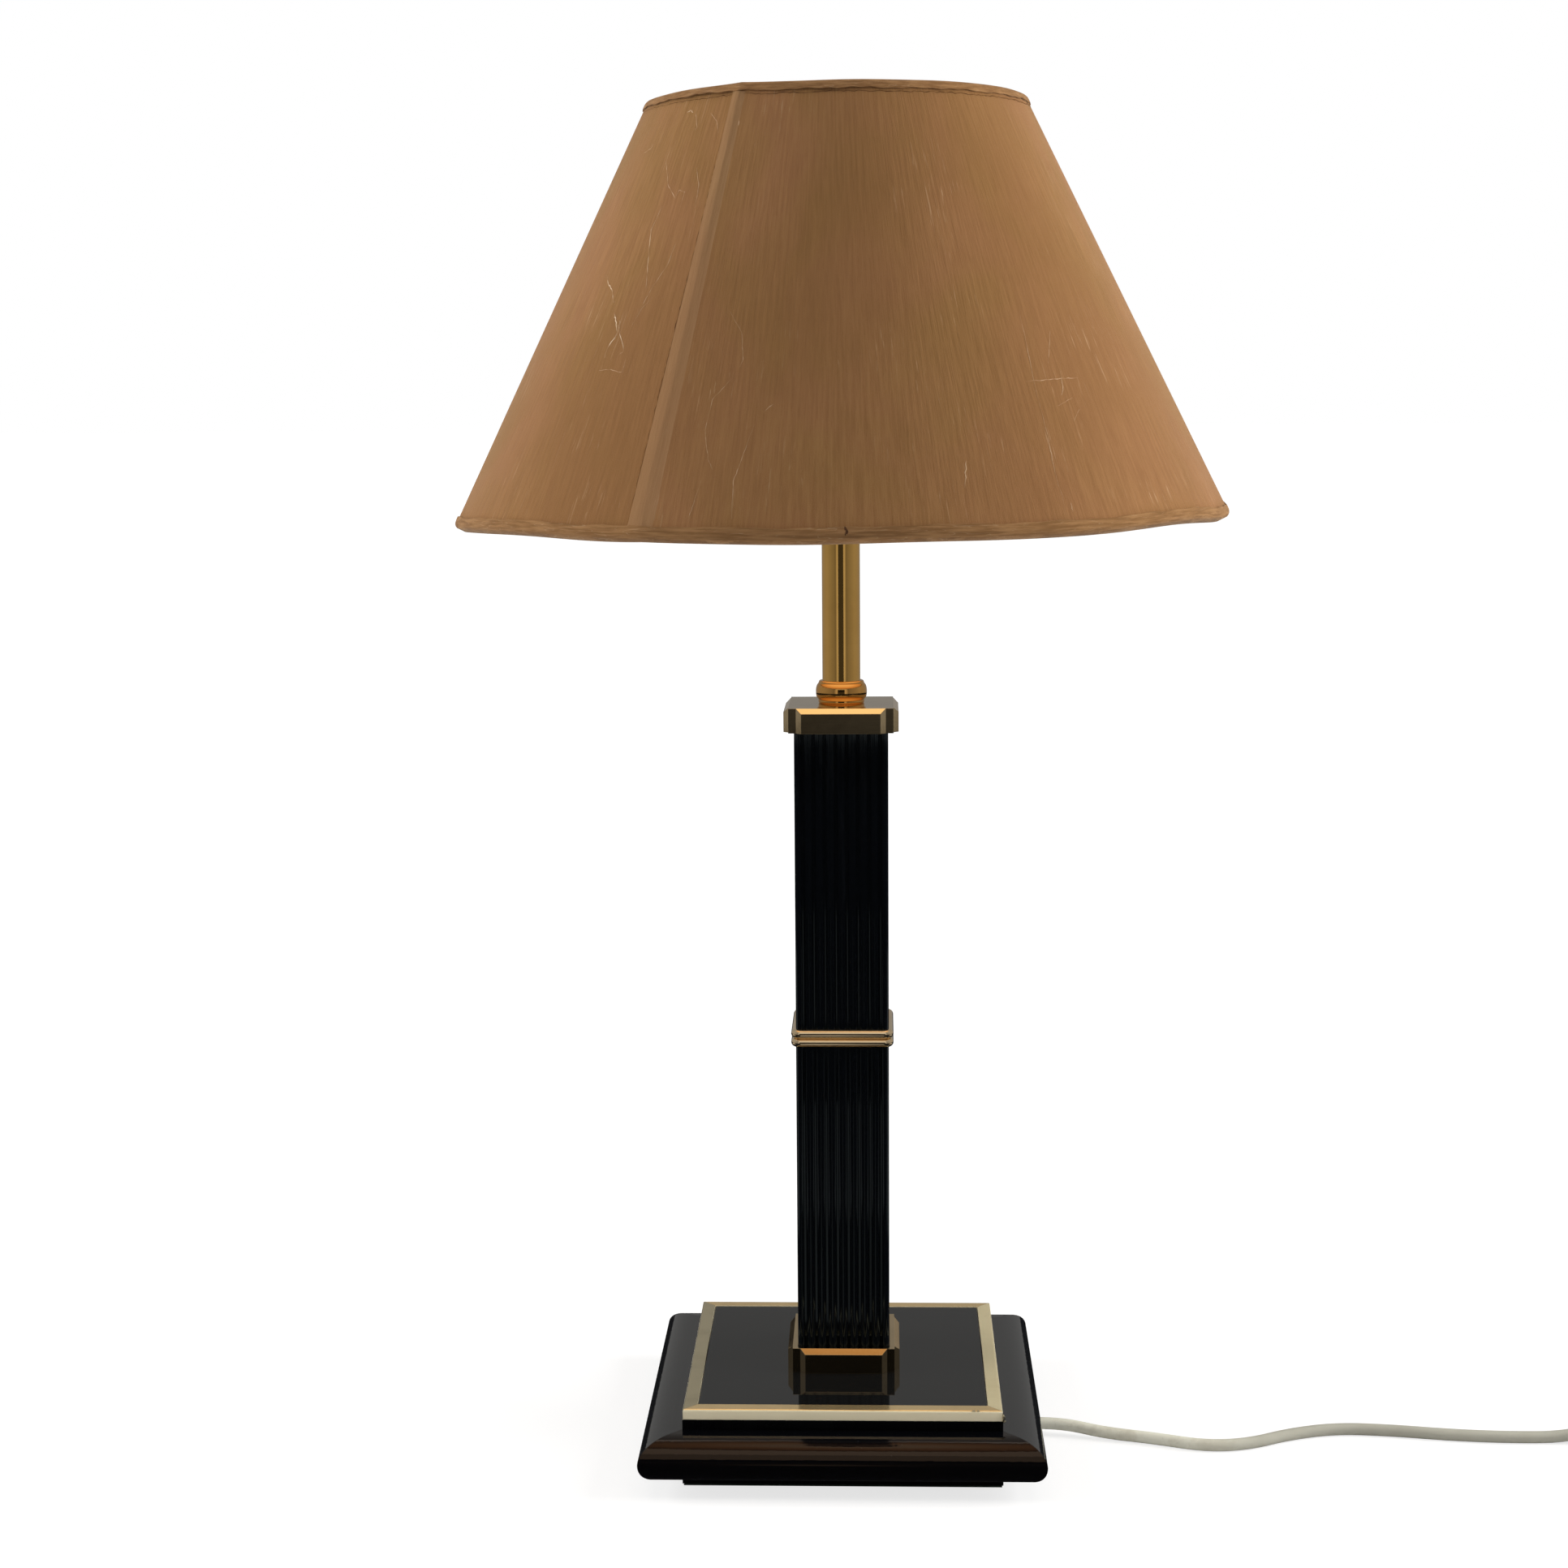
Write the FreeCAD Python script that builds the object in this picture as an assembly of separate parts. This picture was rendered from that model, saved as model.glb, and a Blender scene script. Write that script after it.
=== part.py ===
import FreeCAD, Part
import math
import os

# Column table lamp, in millimetres. +Z is up, -Y is the front.
# The origin is the middle of the base's underside, on the table.

Vector = FreeCAD.Vector
UP = Vector(0, 0, 1)
ORIGIN = Vector(0, 0, 0)

# ---- fits ----
running_clearance = 0.05      # radial play of a part that slides into another
rod_clearance = 0.15          # radial play round the threaded rod
swing_gap = 0.3               # air round the switch's rocker

# ---- base ----
base_width = 171.0            # across the moulding's nose
felt_thickness = 1.0
felt_inset = 0.5
plinth_setback = 17.6         # from the moulding's nose
plinth_rail_width = 10.0
plinth_height = 6.0
cover_thickness = 1.4
moulding_height = 18.0
moulding_nose_reach = 13.0    # how far the rounded shoulder reaches back from the nose
moulding_foot_reach = 9.0     # the same under the nose
deck_margin = 0.2             # deck showing beyond the brass frame
deck_step_height = 4.2
deck_core_depth = 4.0
corner_block_leg = 20.0
cover_screw_radius = 1.2
cover_screw_head_radius = 2.4
cover_screw_head_height = 1.2
cover_screw_length = 11.0
cover_screw_inset = 7.0
ballast_gap = 5.9             # to the plinth rails
ballast_thickness = 8.0
ballast_web = 2.5
ballast_pocket_radius = 16.0

# ---- brass frame and glass plate ----
frame_setback = 18.0          # from the moulding's nose
frame_rail_width = 6.0
frame_rail_height = 4.6
frame_edge_radius = 0.9
plate_gap = 0.3
plate_drop = 0.3

# ---- brass blocks at the column's foot and head ----
block_core_width = 44.6
block_height = 10.6
block_bevel_height = 2.1
block_panel_thickness = 2.2
block_panel_face_width = 33.6
block_floor = 3.0

# ---- column ----
shaft_width = 40.1
shaft_wall = 2.0
shaft_corner_radius = 2.0
reed_count = 7
reed_pitch = 4.72
reed_groove_width = 1.0
reed_groove_depth = 0.9
lower_shaft_length = 142.5
upper_shaft_length = 136.6
bead_radius = 1.9
bead_reach = 2.05             # how far the beads stand out of the column
bead_corner_radius = 4.0
ring_spigot_height = 6.0

# ---- neck ----
rod_radius = 5.0
rod_bore_radius = 4.0
rod_tail = 0.8                # rod left showing under its nut
rod_head = 12.0               # rod that enters the lampholder
rod_nut_width = 15.0
rod_nut_height = 3.0
flat_washer_radius = 14.0
flat_washer_thickness = 1.5
lock_washer_radius = 8.5
lock_washer_thickness = 1.2
collar_foot_radius = 10.3
collar_belly_radius = 11.1
collar_top_radius = 9.3
collar_height = 9.8
collar_foot_height = 2.4
collar_shoulder_height = 2.6
collar_seat_depth = 3.0
neck_tube_radius = 8.15
neck_tube_wall = 1.0
neck_tube_length = 87.0

# ---- lampholder ----
holder_cap_height = 24.0
holder_cap_floor = 11.0
holder_cap_mouth_radius = 11.0
holder_cap_shoulder_height = 9.0
holder_cap_radius = 17.5
holder_wall = 2.3
holder_flange_radius = 22.5
holder_flange_thickness = 3.0
holder_skirt_height = 36.0
holder_skirt_radius = 19.8
holder_skirt_bore_radius = 15.2
insert_depth = 3.0            # insert below the skirt's foot
insert_thickness = 11.0
screw_shell_wall = 0.5
screw_shell_height = 21.0
terminal_screw_radius = 2.0
terminal_screw_length = 4.0
terminal_spacing = 16.0
contact_width = 5.0
contact_thickness = 1.0

# ---- bulb ----
bulb_cap_radius = 13.15
bulb_thread_depth = 0.8
bulb_thread_pitch = 3.6
bulb_thread_turns = 5
bulb_cap_top_land = 4.0
bulb_contact_height = 3.0
bulb_contact_radius = 6.0
bulb_radius = 30.0
bulb_glass_thickness = 0.8
bulb_neck_radius = 12.6
bulb_neck_height = 7.0
bulb_glass_height = 82.0

# ---- shade ----
shade_bottom_radius = 164.0
shade_top_radius = 79.0
shade_height = 173.3
shade_card_thickness = 0.9
shade_liner_thickness = 0.4
shade_wire_radius = 1.75
shade_hang = 42.3             # bottom rim below the carrier ring's underside
shade_play = 0.1              # between the card, its hoops and its bindings
binding_thickness = 0.7
binding_width = 5.0
seam_start_degrees = -118.7
seam_width_degrees = 3.7
seam_thickness = 0.5
carrier_ring_width = 5.5
carrier_ring_thickness = 2.0
spoke_radius = 1.6
spoke_count = 3
first_spoke_degrees = 90.0
shade_nut_radius = 28.0
shade_nut_grip_height = 2.2
shade_nut_height = 6.0

# ---- mains lead ----
cord_diameter = 5.2
core_radius = 1.1
exit_y = -9.0
exit_z = 5.2
relief_root_radius = 3.6
relief_tip_radius = 3.05
relief_reach = 0.5            # sleeve showing beyond the moulding's nose
inner_bend_setback = 8.0      # from the sleeve's end to the corner it turns
inner_bend_radius = 10.0
inner_cord_top_gap = 2.0      # sheath showing above the rod
cord_run_in = 11.0            # straight piece where the lead leaves or enters a part
coil_centre_x = 467.0
coil_outer_radius = 41.0
coil_turn_gap = 0.6
coil_table_turns = 3.5
coil_climb_turns = 0.5
coil_top_turns = 3.25
coil_quarters = 4             # path spans in one turn
tie_width = 5.0
tie_thickness = 0.8
tie_clearance = 0.1
tie_side_clearance = 0.35

# ---- in-line switch ----
switch_x = 345.0              # where the lead enters
switch_y = -16.0
switch_length = 64.0
switch_width = 27.0
switch_base_height = 8.0
switch_cover_height = 9.0
switch_wall = 2.0
switch_corner_radius = 7.0
switch_edge_radius = 1.5
rocker_half_length = 10.2
rocker_width = 11.4
rocker_wing_height = 4.2
rocker_middle_height = 3.0
rocker_depth = 2.0
rocker_rest_degrees = 10.0
rocker_pivot_below_top = 2.8
rocker_pin_radius = 1.4
rocker_pin_length = 15.2
cheek_thickness = 2.0
cheek_length = 10.0
cheek_height = 3.5

# ---- plug ----
plug_x = 508.0                # where the lead enters the sleeve
plug_y = 70.0
plug_width = 35.0
plug_thickness = 13.7
plug_shoulder_length = 9.0
plug_body_length = 34.0
plug_rear_width = 15.0
plug_edge_radius = 2.0
plug_sleeve_length = 20.0
plug_sleeve_root_radius = 5.2
plug_sleeve_tip_radius = 3.2
plug_pin_radius = 2.0
plug_pin_length = 19.0
plug_pin_spacing = 18.6
plug_pin_root_radius = 1.5
plug_pin_root_length = 6.0
plug_pin_tip_round = 1.0

# ---- widths that follow from the base's width ----
plinth_width = base_width - 2 * plinth_setback
cavity_half = plinth_width / 2 - plinth_rail_width
ballast_radius = cavity_half - ballast_gap
frame_width = base_width - 2 * frame_setback
deck_width = frame_width + 2 * deck_margin
relief_tip_x = base_width / 2 + relief_reach

# ---- heights that follow from the sizes above ----
plinth_bottom_z = felt_thickness
moulding_bottom_z = plinth_bottom_z + plinth_height
moulding_top_z = moulding_bottom_z + moulding_height
deck_top_z = moulding_top_z + deck_step_height
deck_bottom_z = moulding_top_z - deck_core_depth
cover_top_z = felt_thickness + cover_thickness
frame_top_z = deck_top_z + frame_rail_height
plate_top_z = frame_top_z - plate_drop
ferrule_floor_z = plate_top_z + block_floor
ring_bottom_z = ferrule_floor_z + lower_shaft_length
ring_top_z = ring_bottom_z + 4.0 * bead_radius
capital_roof_z = ring_top_z + upper_shaft_length
capital_top_z = capital_roof_z + block_floor
capital_bottom_z = capital_top_z - block_height
collar_top_z = capital_top_z + collar_height
neck_bottom_z = collar_top_z - collar_seat_depth
holder_z = neck_bottom_z + neck_tube_length
skirt_z = holder_z + holder_cap_height
carrier_z = skirt_z + holder_flange_thickness
insert_bottom_z = skirt_z - insert_depth
insert_top_z = insert_bottom_z + insert_thickness
ballast_bottom_z = deck_bottom_z - ballast_thickness
washer_top_z = deck_bottom_z - ballast_web
nut_top_z = washer_top_z - flat_washer_thickness - lock_washer_thickness
nut_bottom_z = nut_top_z - rod_nut_height
rod_bottom_z = nut_bottom_z - rod_tail
rod_top_z = holder_z + rod_head
shade_bottom_z = carrier_z - shade_hang
bulb_cap_bottom_z = insert_top_z + contact_thickness + bulb_contact_height
bulb_cap_height = bulb_thread_turns * bulb_thread_pitch + bulb_cap_top_land
bulb_glass_z = bulb_cap_bottom_z + bulb_cap_height

column_hole_radius = rod_radius + rod_clearance
shaft_inner_half = shaft_width / 2 - reed_groove_depth - shaft_wall
cord_radius = cord_diameter / 2
bulb_bore_radius = bulb_cap_radius + 0.35
shade_slope = math.atan2(shade_bottom_radius - shade_top_radius, shade_height)
shade_slant = math.hypot(shade_bottom_radius - shade_top_radius, shade_height)
shade_wall = shade_card_thickness + shade_liner_thickness
hoop_depth = -shade_wall - shade_play - shade_wire_radius
hoop_slope = binding_thickness + shade_play + shade_wire_radius
plug_axis_z = plug_thickness / 2
switch_axis_z = switch_base_height
switch_far_x = switch_x + switch_length
coil_pitch = cord_diameter + coil_turn_gap
coil_inner_radius = coil_outer_radius - coil_table_turns * coil_pitch
coil_end_radius = coil_inner_radius + coil_top_turns * coil_pitch
coil_low_z = cord_radius + tie_clearance + tie_thickness
coil_high_z = coil_low_z + coil_pitch
coil_centre_y = switch_y + coil_outer_radius
coil_start_x = coil_centre_x - cord_diameter
coil_end_x = coil_centre_x + coil_end_radius
coil_end_y = coil_centre_y + cord_diameter

# ---- routes of the lead's centre line ----
# From the strain relief's tip to the switch.
run_route = (
    (relief_tip_x, exit_y, exit_z),
    (relief_tip_x + cord_run_in, exit_y, exit_z),
    (115.0, -14.3, 3.0),
    (136.0, -19.0, cord_radius),
    (158.0, -27.6, cord_radius),
    (177.0, -24.9, cord_radius),
    (196.0, -13.5, cord_radius),
    (218.0, -6.5, cord_radius),
    (242.0, -8.5, cord_radius),
    (268.0, -13.5, cord_radius),
    (294.0, -15.6, cord_radius),
    (316.0, -14.6, cord_radius),
    (switch_x - cord_run_in, switch_y, switch_axis_z),
    (switch_x, switch_y, switch_axis_z),
)
# From the switch to the coil's table layer.
link_route = (
    (switch_far_x, switch_y, switch_axis_z),
    (switch_far_x + cord_run_in, switch_y, switch_axis_z),
    (436.0, -17.5, 4.0),
    (coil_start_x - cord_run_in, switch_y, coil_low_z),
    (coil_start_x, switch_y, coil_low_z),
)
# From the coil's top layer to the plug.
tail_route = (
    (coil_end_x, coil_end_y, coil_high_z),
    (coil_end_x, coil_end_y + cord_run_in, coil_high_z),
    (plug_x, plug_y - cord_run_in, plug_axis_z),
    (plug_x, plug_y, plug_axis_z),
)


# ---- small shape helpers ----
def block(half_x, half_y, z_low, z_high):
    """Box centred on the lamp's axis."""
    corner = Vector(-half_x, -half_y, z_low)
    return Part.makeBox(2 * half_x, 2 * half_y, z_high - z_low, corner)


def rod(radius, z_low, z_high, x=0.0, y=0.0):
    """Upright cylinder."""
    return Part.makeCylinder(radius, z_high - z_low, Vector(x, y, z_low), UP)


def polygon_face(points):
    """Flat face with straight edges."""
    corners = [Vector(*point) for point in points]
    return Part.Face(Part.makePolygon(corners + corners[:1]))


def turned(points):
    """Solid of revolution about Z from (radius, z) points."""
    face = polygon_face([(radius, 0.0, z) for radius, z in points])
    return face.revolve(ORIGIN, UP, 360)


def line(start, end):
    return Part.LineSegment(Vector(*start), Vector(*end)).toShape()


def arc(start, middle, end):
    return Part.Arc(Vector(*start), Vector(*middle), Vector(*end)).toShape()


def upright_face(edges):
    """Face drawn in the XY plane, stood up so that its Y becomes Z."""
    face = Part.Face(Part.Wire(edges))
    face.rotate(ORIGIN, Vector(1, 0, 0), 90)
    return face


def mitred_rail(face, reach):
    """Rail on the +X side with both ends mitred, from its (radius, z) section."""
    bar = face.copy()
    bar.translate(Vector(0, reach, 0))
    bar = bar.extrude(Vector(0, -2 * reach, 0))
    low = bar.BoundBox.ZMin - 1
    wedge = polygon_face([(0, 0, low), (reach, -reach, low), (reach, reach, low)])
    wedge = wedge.extrude(Vector(0, 0, bar.BoundBox.ZLength + 2))
    return bar.common(wedge)


def turned_about_z(shape, degrees):
    copy = shape.copy()
    copy.rotate(ORIGIN, UP, degrees)
    return copy


def only_solid(shape):
    """The one solid of a boolean's result."""
    if len(shape.Solids) != 1:
        raise ValueError("expected one solid, found %d" % len(shape.Solids))
    return shape.Solids[0]


SIDES = (("right", 0), ("back", 90), ("left", 180), ("front", 270))


def four_rails(name, face, reach):
    """One mitred rail on each side of the square."""
    rail = mitred_rail(face, reach)
    return {"%s_%s" % (name, side): turned_about_z(rail, turn) for side, turn in SIDES}


# ---- tubes along routes ----
def rounded_path(points, radii=None):
    """Straight runs joined by tangent arcs. Returns the wire, its length and its radii."""
    stops = [Vector(*point) for point in points]
    edges = []
    used = []
    length = 0.0
    start = stops[0]
    for index in range(1, len(stops) - 1):
        before = stops[index] - stops[index - 1]
        after = stops[index + 1] - stops[index]
        turn = before.getAngle(after)
        if radii:
            radius = radii[index - 1]
        else:
            radius = 0.45 * min(before.Length, after.Length) / math.tan(turn / 2)
        setback = radius * math.tan(turn / 2)
        into = Vector(before).normalize()
        out = Vector(after).normalize()
        first = stops[index] - into * setback
        last = stops[index] + out * setback
        inward = (out - into).normalize()
        middle = stops[index] + inward * (radius / math.cos(turn / 2) - radius)
        edges.append(Part.LineSegment(start, first).toShape())
        edges.append(Part.Arc(first, middle, last).toShape())
        length += (first - start).Length + radius * turn
        used.append(radius)
        start = last
    edges.append(Part.LineSegment(start, stops[-1]).toShape())
    length += (stops[-1] - start).Length
    return Part.Wire(edges), length, used


def swept_tube(path, radius):
    """Round tube along a wire of tangent edges."""
    first = path.OrderedEdges[0]
    start = first.valueAt(first.FirstParameter)
    direction = first.tangentAt(first.FirstParameter)
    ring = Part.Wire([Part.Circle(start, direction, radius).toShape()])
    shell = Part.BRepOffsetAPI.MakePipeShell(path)
    shell.add(ring)
    shell.build()
    shell.makeSolid()
    tube = shell.shape()
    return tube.Solids[0]


def report_tube(name, tube, length, radius, radii):
    ideal = math.pi * radius ** 2 * length
    print("%s: length %.1f mm, volume / ideal %.4f" % (name, length, tube.Volume / ideal))
    print("%s: radii %s" % (name, ", ".join("%.1f" % value for value in radii)))


def cord_tube(name, points, radii=None, radius=None):
    """One stretch of round cord."""
    radius = radius or cord_radius
    path, length, used = rounded_path(points, radii)
    tube = swept_tube(path, radius)
    report_tube(name, tube, length, radius, used)
    return tube


def tangent_arc(start, tangent, end):
    """Arc from start to end that leaves along tangent."""
    chord = end - start
    along = Vector(chord).normalize()
    side = tangent - along * tangent.dot(along)
    lean = tangent.getAngle(along)
    middle = start + chord * 0.5 + side.normalize() * (chord.Length / 2 * math.tan(lean / 2))
    radius = chord.Length / (2 * math.sin(lean))
    return Part.Arc(start, middle, end).toShape(), radius


def biarc(start, start_tangent, end, end_tangent):
    """Two tangent arcs between two points with given directions."""
    span = end - start
    a = 2 * (1 - start_tangent.dot(end_tangent))
    b = 2 * span.dot(start_tangent + end_tangent)
    reach = (math.sqrt(b * b + 4 * a * span.dot(span)) - b) / (2 * a)
    joint = (start + end + (start_tangent - end_tangent) * reach) * 0.5
    first, first_radius = tangent_arc(start, start_tangent, joint)
    back, last_radius = tangent_arc(end, end_tangent * -1, joint)
    last = tangent_arc(joint, joint_tangent(start, start_tangent, joint), end)[0]
    return [first, last], [first_radius, last_radius]


def joint_tangent(start, tangent, joint):
    """Direction in which an arc from start arrives at joint."""
    along = (joint - start).normalize()
    return along * (2 * tangent.dot(along)) - tangent


# ---- base ----
def base_felt():
    half = plinth_width / 2 - felt_inset
    return block(half, half, 0, felt_thickness)


def relief_bore():
    """Hole in the right-hand side for the strain relief."""
    centre = Vector(0, exit_y, exit_z)
    radius = relief_root_radius + running_clearance
    return Part.makeCylinder(radius, plinth_width, centre, Vector(1, 0, 0))


def rail_rectangle(outer, inner, z_low, z_high):
    """Section of a plain rail as an upright face."""
    points = [(inner, 0, z_low), (outer, 0, z_low), (outer, 0, z_high), (inner, 0, z_high)]
    return polygon_face(points)


def plinth_rails():
    outer = plinth_width / 2
    section = rail_rectangle(outer, cavity_half, plinth_bottom_z, moulding_bottom_z)
    rails = four_rails("plinth_rail", section, outer)
    rails["plinth_rail_right"] = only_solid(rails["plinth_rail_right"].cut(relief_bore()))
    return rails


def moulding_section():
    """Bullnose: a long shoulder above the nose and a shorter round under it."""
    nose = base_width / 2
    nose_z = (moulding_bottom_z + moulding_top_z) / 2
    rise = moulding_height / 2
    shoulder = Part.Ellipse(Vector(nose - moulding_nose_reach, nose_z, 0), moulding_nose_reach, rise)
    foot_x = nose - moulding_foot_reach
    low = moulding_bottom_z
    foot_middle = (
        foot_x + moulding_foot_reach * math.sqrt(0.5),
        nose_z - rise * math.sqrt(0.5),
        0,
    )
    edges = [
        line((cavity_half, low, 0), (foot_x, low, 0)),
        arc((foot_x, low, 0), foot_middle, (nose, nose_z, 0)),
        Part.Arc(shoulder, 0, math.pi / 2).toShape(),
        line((nose - moulding_nose_reach, moulding_top_z, 0), (cavity_half, moulding_top_z, 0)),
        line((cavity_half, moulding_top_z, 0), (cavity_half, low, 0)),
    ]
    return upright_face(edges)


def base_mouldings():
    rails = four_rails("base_moulding", moulding_section(), base_width / 2)
    rails["base_moulding_right"] = only_solid(rails["base_moulding_right"].cut(relief_bore()))
    return rails


def cover_screw_spots():
    spot = cavity_half - cover_screw_inset
    return [(x, y) for x in (-spot, spot) for y in (-spot, spot)]


def cover_screw(x, y):
    """Countersunk wood screw, head down."""
    head_top = felt_thickness + cover_screw_head_height
    head = Part.makeCone(
        cover_screw_head_radius,
        cover_screw_radius,
        cover_screw_head_height,
        Vector(x, y, felt_thickness),
        UP,
    )
    shank = rod(cover_screw_radius, head_top, felt_thickness + cover_screw_length, x, y)
    return only_solid(head.fuse(shank).removeSplitter())


def cover_screws():
    return [cover_screw(x, y) for x, y in cover_screw_spots()]


def bottom_cover():
    half = cavity_half - running_clearance
    plate = block(half, half, felt_thickness, cover_top_z)
    return only_solid(plate.cut(cover_screws()))


def corner_blocks():
    """Triangular glue blocks in the base's four corners."""
    corner = cavity_half
    leg = corner_block_leg
    points = [
        (corner, corner, cover_top_z),
        (corner - leg, corner, cover_top_z),
        (corner, corner - leg, cover_top_z),
    ]
    prism = polygon_face(points).extrude(Vector(0, 0, deck_bottom_z - cover_top_z))
    blocks = [turned_about_z(prism, turn) for _, turn in SIDES]
    return [only_solid(piece.cut(cover_screws())) for piece in blocks]


def base_deck():
    """Stepped black board that carries the brass frame and the plate."""
    step = block(deck_width / 2, deck_width / 2, moulding_top_z, deck_top_z)
    core_half = cavity_half - running_clearance
    core = block(core_half, core_half, deck_bottom_z, moulding_top_z)
    board = step.fuse(core).removeSplitter()
    return only_solid(board.cut(rod(column_hole_radius, deck_bottom_z, deck_top_z)))


def ballast_disc():
    """Iron disc clamped to the deck by the rod's nut, which sits in its pocket."""
    disc = rod(ballast_radius, ballast_bottom_z, deck_bottom_z)
    pocket = rod(ballast_pocket_radius, ballast_bottom_z, washer_top_z)
    bore = rod(column_hole_radius, ballast_bottom_z, deck_bottom_z)
    return only_solid(disc.cut(pocket).cut(bore))


# ---- brass frame and plate ----
def frame_section():
    outer = frame_width / 2
    inner = outer - frame_rail_width
    edge = frame_edge_radius
    bend = edge * (1 - math.sqrt(0.5))
    edges = [
        line((inner, deck_top_z, 0), (outer, deck_top_z, 0)),
        line((outer, deck_top_z, 0), (outer, frame_top_z - edge, 0)),
        arc(
            (outer, frame_top_z - edge, 0),
            (outer - bend, frame_top_z - bend, 0),
            (outer - edge, frame_top_z, 0),
        ),
        line((outer - edge, frame_top_z, 0), (inner, frame_top_z, 0)),
        line((inner, frame_top_z, 0), (inner, deck_top_z, 0)),
    ]
    return upright_face(edges)


def top_plate():
    half = frame_width / 2 - frame_rail_width - plate_gap
    plate = block(half, half, deck_top_z, plate_top_z)
    return only_solid(plate.cut(rod(column_hole_radius, deck_top_z, plate_top_z)))


# ---- column ----
def face_panel(z_low):
    """Raised panel on the +X face of a block, bevelled at its top and both ends."""
    root_x = block_core_width / 2
    face_x = root_x + block_panel_thickness
    face_y = block_panel_face_width / 2
    root_y = face_y + block_panel_thickness
    z_face = z_low + block_height - block_bevel_height
    z_root = z_low + block_height
    root = [
        Vector(root_x, -root_y, z_low),
        Vector(root_x, root_y, z_low),
        Vector(root_x, root_y, z_root),
        Vector(root_x, -root_y, z_root),
    ]
    face = [
        Vector(face_x, -face_y, z_low),
        Vector(face_x, face_y, z_low),
        Vector(face_x, face_y, z_face),
        Vector(face_x, -face_y, z_face),
    ]
    sides = [
        Part.Face(Part.makePolygon([root[i], root[i - 1], face[i - 1], face[i], root[i]]))
        for i in range(4)
    ]
    ends = [Part.Face(Part.makePolygon(ring + ring[:1])) for ring in (root, face)]
    return Part.Solid(Part.Shell(sides + ends))


def brass_block(z_low):
    """Square block with a bevelled panel on each side."""
    half = block_core_width / 2
    body = block(half, half, z_low, z_low + block_height)
    panel = face_panel(z_low)
    panels = [turned_about_z(panel, turn) for _, turn in SIDES]
    return body.fuse(panels).removeSplitter()


def shaft_seat(z_low, z_high):
    """Square hollow that the column's end sits in."""
    half = shaft_width / 2 + running_clearance
    return block(half, half, z_low, z_high)


def foot_ferrule():
    seat = shaft_seat(ferrule_floor_z, plate_top_z + block_height)
    hole = rod(column_hole_radius, plate_top_z, ferrule_floor_z)
    return only_solid(brass_block(plate_top_z).cut(seat).cut(hole))


def capital():
    seat = shaft_seat(capital_bottom_z, capital_roof_z)
    hole = rod(column_hole_radius, capital_roof_z, capital_top_z)
    return only_solid(brass_block(capital_bottom_z).cut(seat).cut(hole))


def shaft_side_edges():
    """One side of the reeded outline, facing -Y, from its left corner to its right."""
    half = shaft_width / 2
    floor = -half + reed_groove_depth
    reed_half = (reed_pitch - reed_groove_width) / 2
    first = -(reed_count - 1) / 2 * reed_pitch
    land_end = first - reed_pitch + reed_half
    land_start = -half + shaft_corner_radius
    shoulder = (land_start + land_end) / 2
    bow = half - reed_groove_depth * 0.3
    edges = [arc((land_start, -half, 0), (shoulder, -bow, 0), (land_end, floor, 0))]
    edge_x = land_end
    for index in range(reed_count):
        middle = first + index * reed_pitch
        edges.append(line((edge_x, floor, 0), (middle - reed_half, floor, 0)))
        edges.append(arc((middle - reed_half, floor, 0), (middle, -half, 0), (middle + reed_half, floor, 0)))
        edge_x = middle + reed_half
    edges.append(line((edge_x, floor, 0), (-land_end, floor, 0)))
    edges.append(arc((-land_end, floor, 0), (-shoulder, -bow, 0), (-land_start, -half, 0)))
    bend = shaft_corner_radius * math.sqrt(0.5)
    corner = half - shaft_corner_radius
    edges.append(arc((corner, -half, 0), (corner + bend, -corner - bend, 0), (half, -corner, 0)))
    return edges


def reeded_shaft(z_low, z_high):
    """Hollow square extrusion with rounded reeds on its four sides."""
    edges = []
    for turn in (0, 90, 180, 270):
        for edge in shaft_side_edges():
            edges.append(turned_about_z(edge, turn))
    outline = Part.Face(Part.Wire(edges))
    outline.translate(Vector(0, 0, z_low))
    solid = outline.extrude(Vector(0, 0, z_high - z_low))
    return only_solid(solid.cut(block(shaft_inner_half, shaft_inner_half, z_low, z_high)))


def mid_ring():
    """Two stacked beads round the column's joint, on a block with two spigots."""
    middle = bead_corner_radius
    root = middle - bead_radius
    edges = [line((0, 0, 0), (root, 0, 0))]
    for bead in (0, 1):
        z = 2 * bead * bead_radius
        tip = z + bead_radius
        edges.append(arc((root, z, 0), (middle, tip, 0), (root, z + 2 * bead_radius, 0)))
    height = ring_top_z - ring_bottom_z
    edges.append(line((root, height, 0), (0, height, 0)))
    edges.append(line((0, height, 0), (0, 0, 0)))
    section = upright_face(edges)
    axis = shaft_width / 2 + bead_reach - bead_corner_radius
    section.translate(Vector(axis, -axis, ring_bottom_z))
    side = section.extrude(Vector(0, 2 * axis, 0))
    corner = section.revolve(Vector(axis, -axis, 0), UP, -90)
    pieces = [turned_about_z(piece, turn) for piece in (side, corner) for _, turn in SIDES]
    spigot_half = shaft_inner_half - running_clearance
    spigots = block(
        spigot_half,
        spigot_half,
        ring_bottom_z - ring_spigot_height,
        ring_top_z + ring_spigot_height,
    )
    ring = block(axis, axis, ring_bottom_z, ring_top_z).fuse(pieces + [spigots]).removeSplitter()
    hole = rod(column_hole_radius, ring_bottom_z - ring_spigot_height, ring_top_z + ring_spigot_height)
    return only_solid(ring.cut(hole))


# ---- neck ----
def threaded_rod():
    outer = rod(rod_radius, rod_bottom_z, rod_top_z)
    return only_solid(outer.cut(rod(rod_bore_radius, rod_bottom_z, rod_top_z)))


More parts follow.
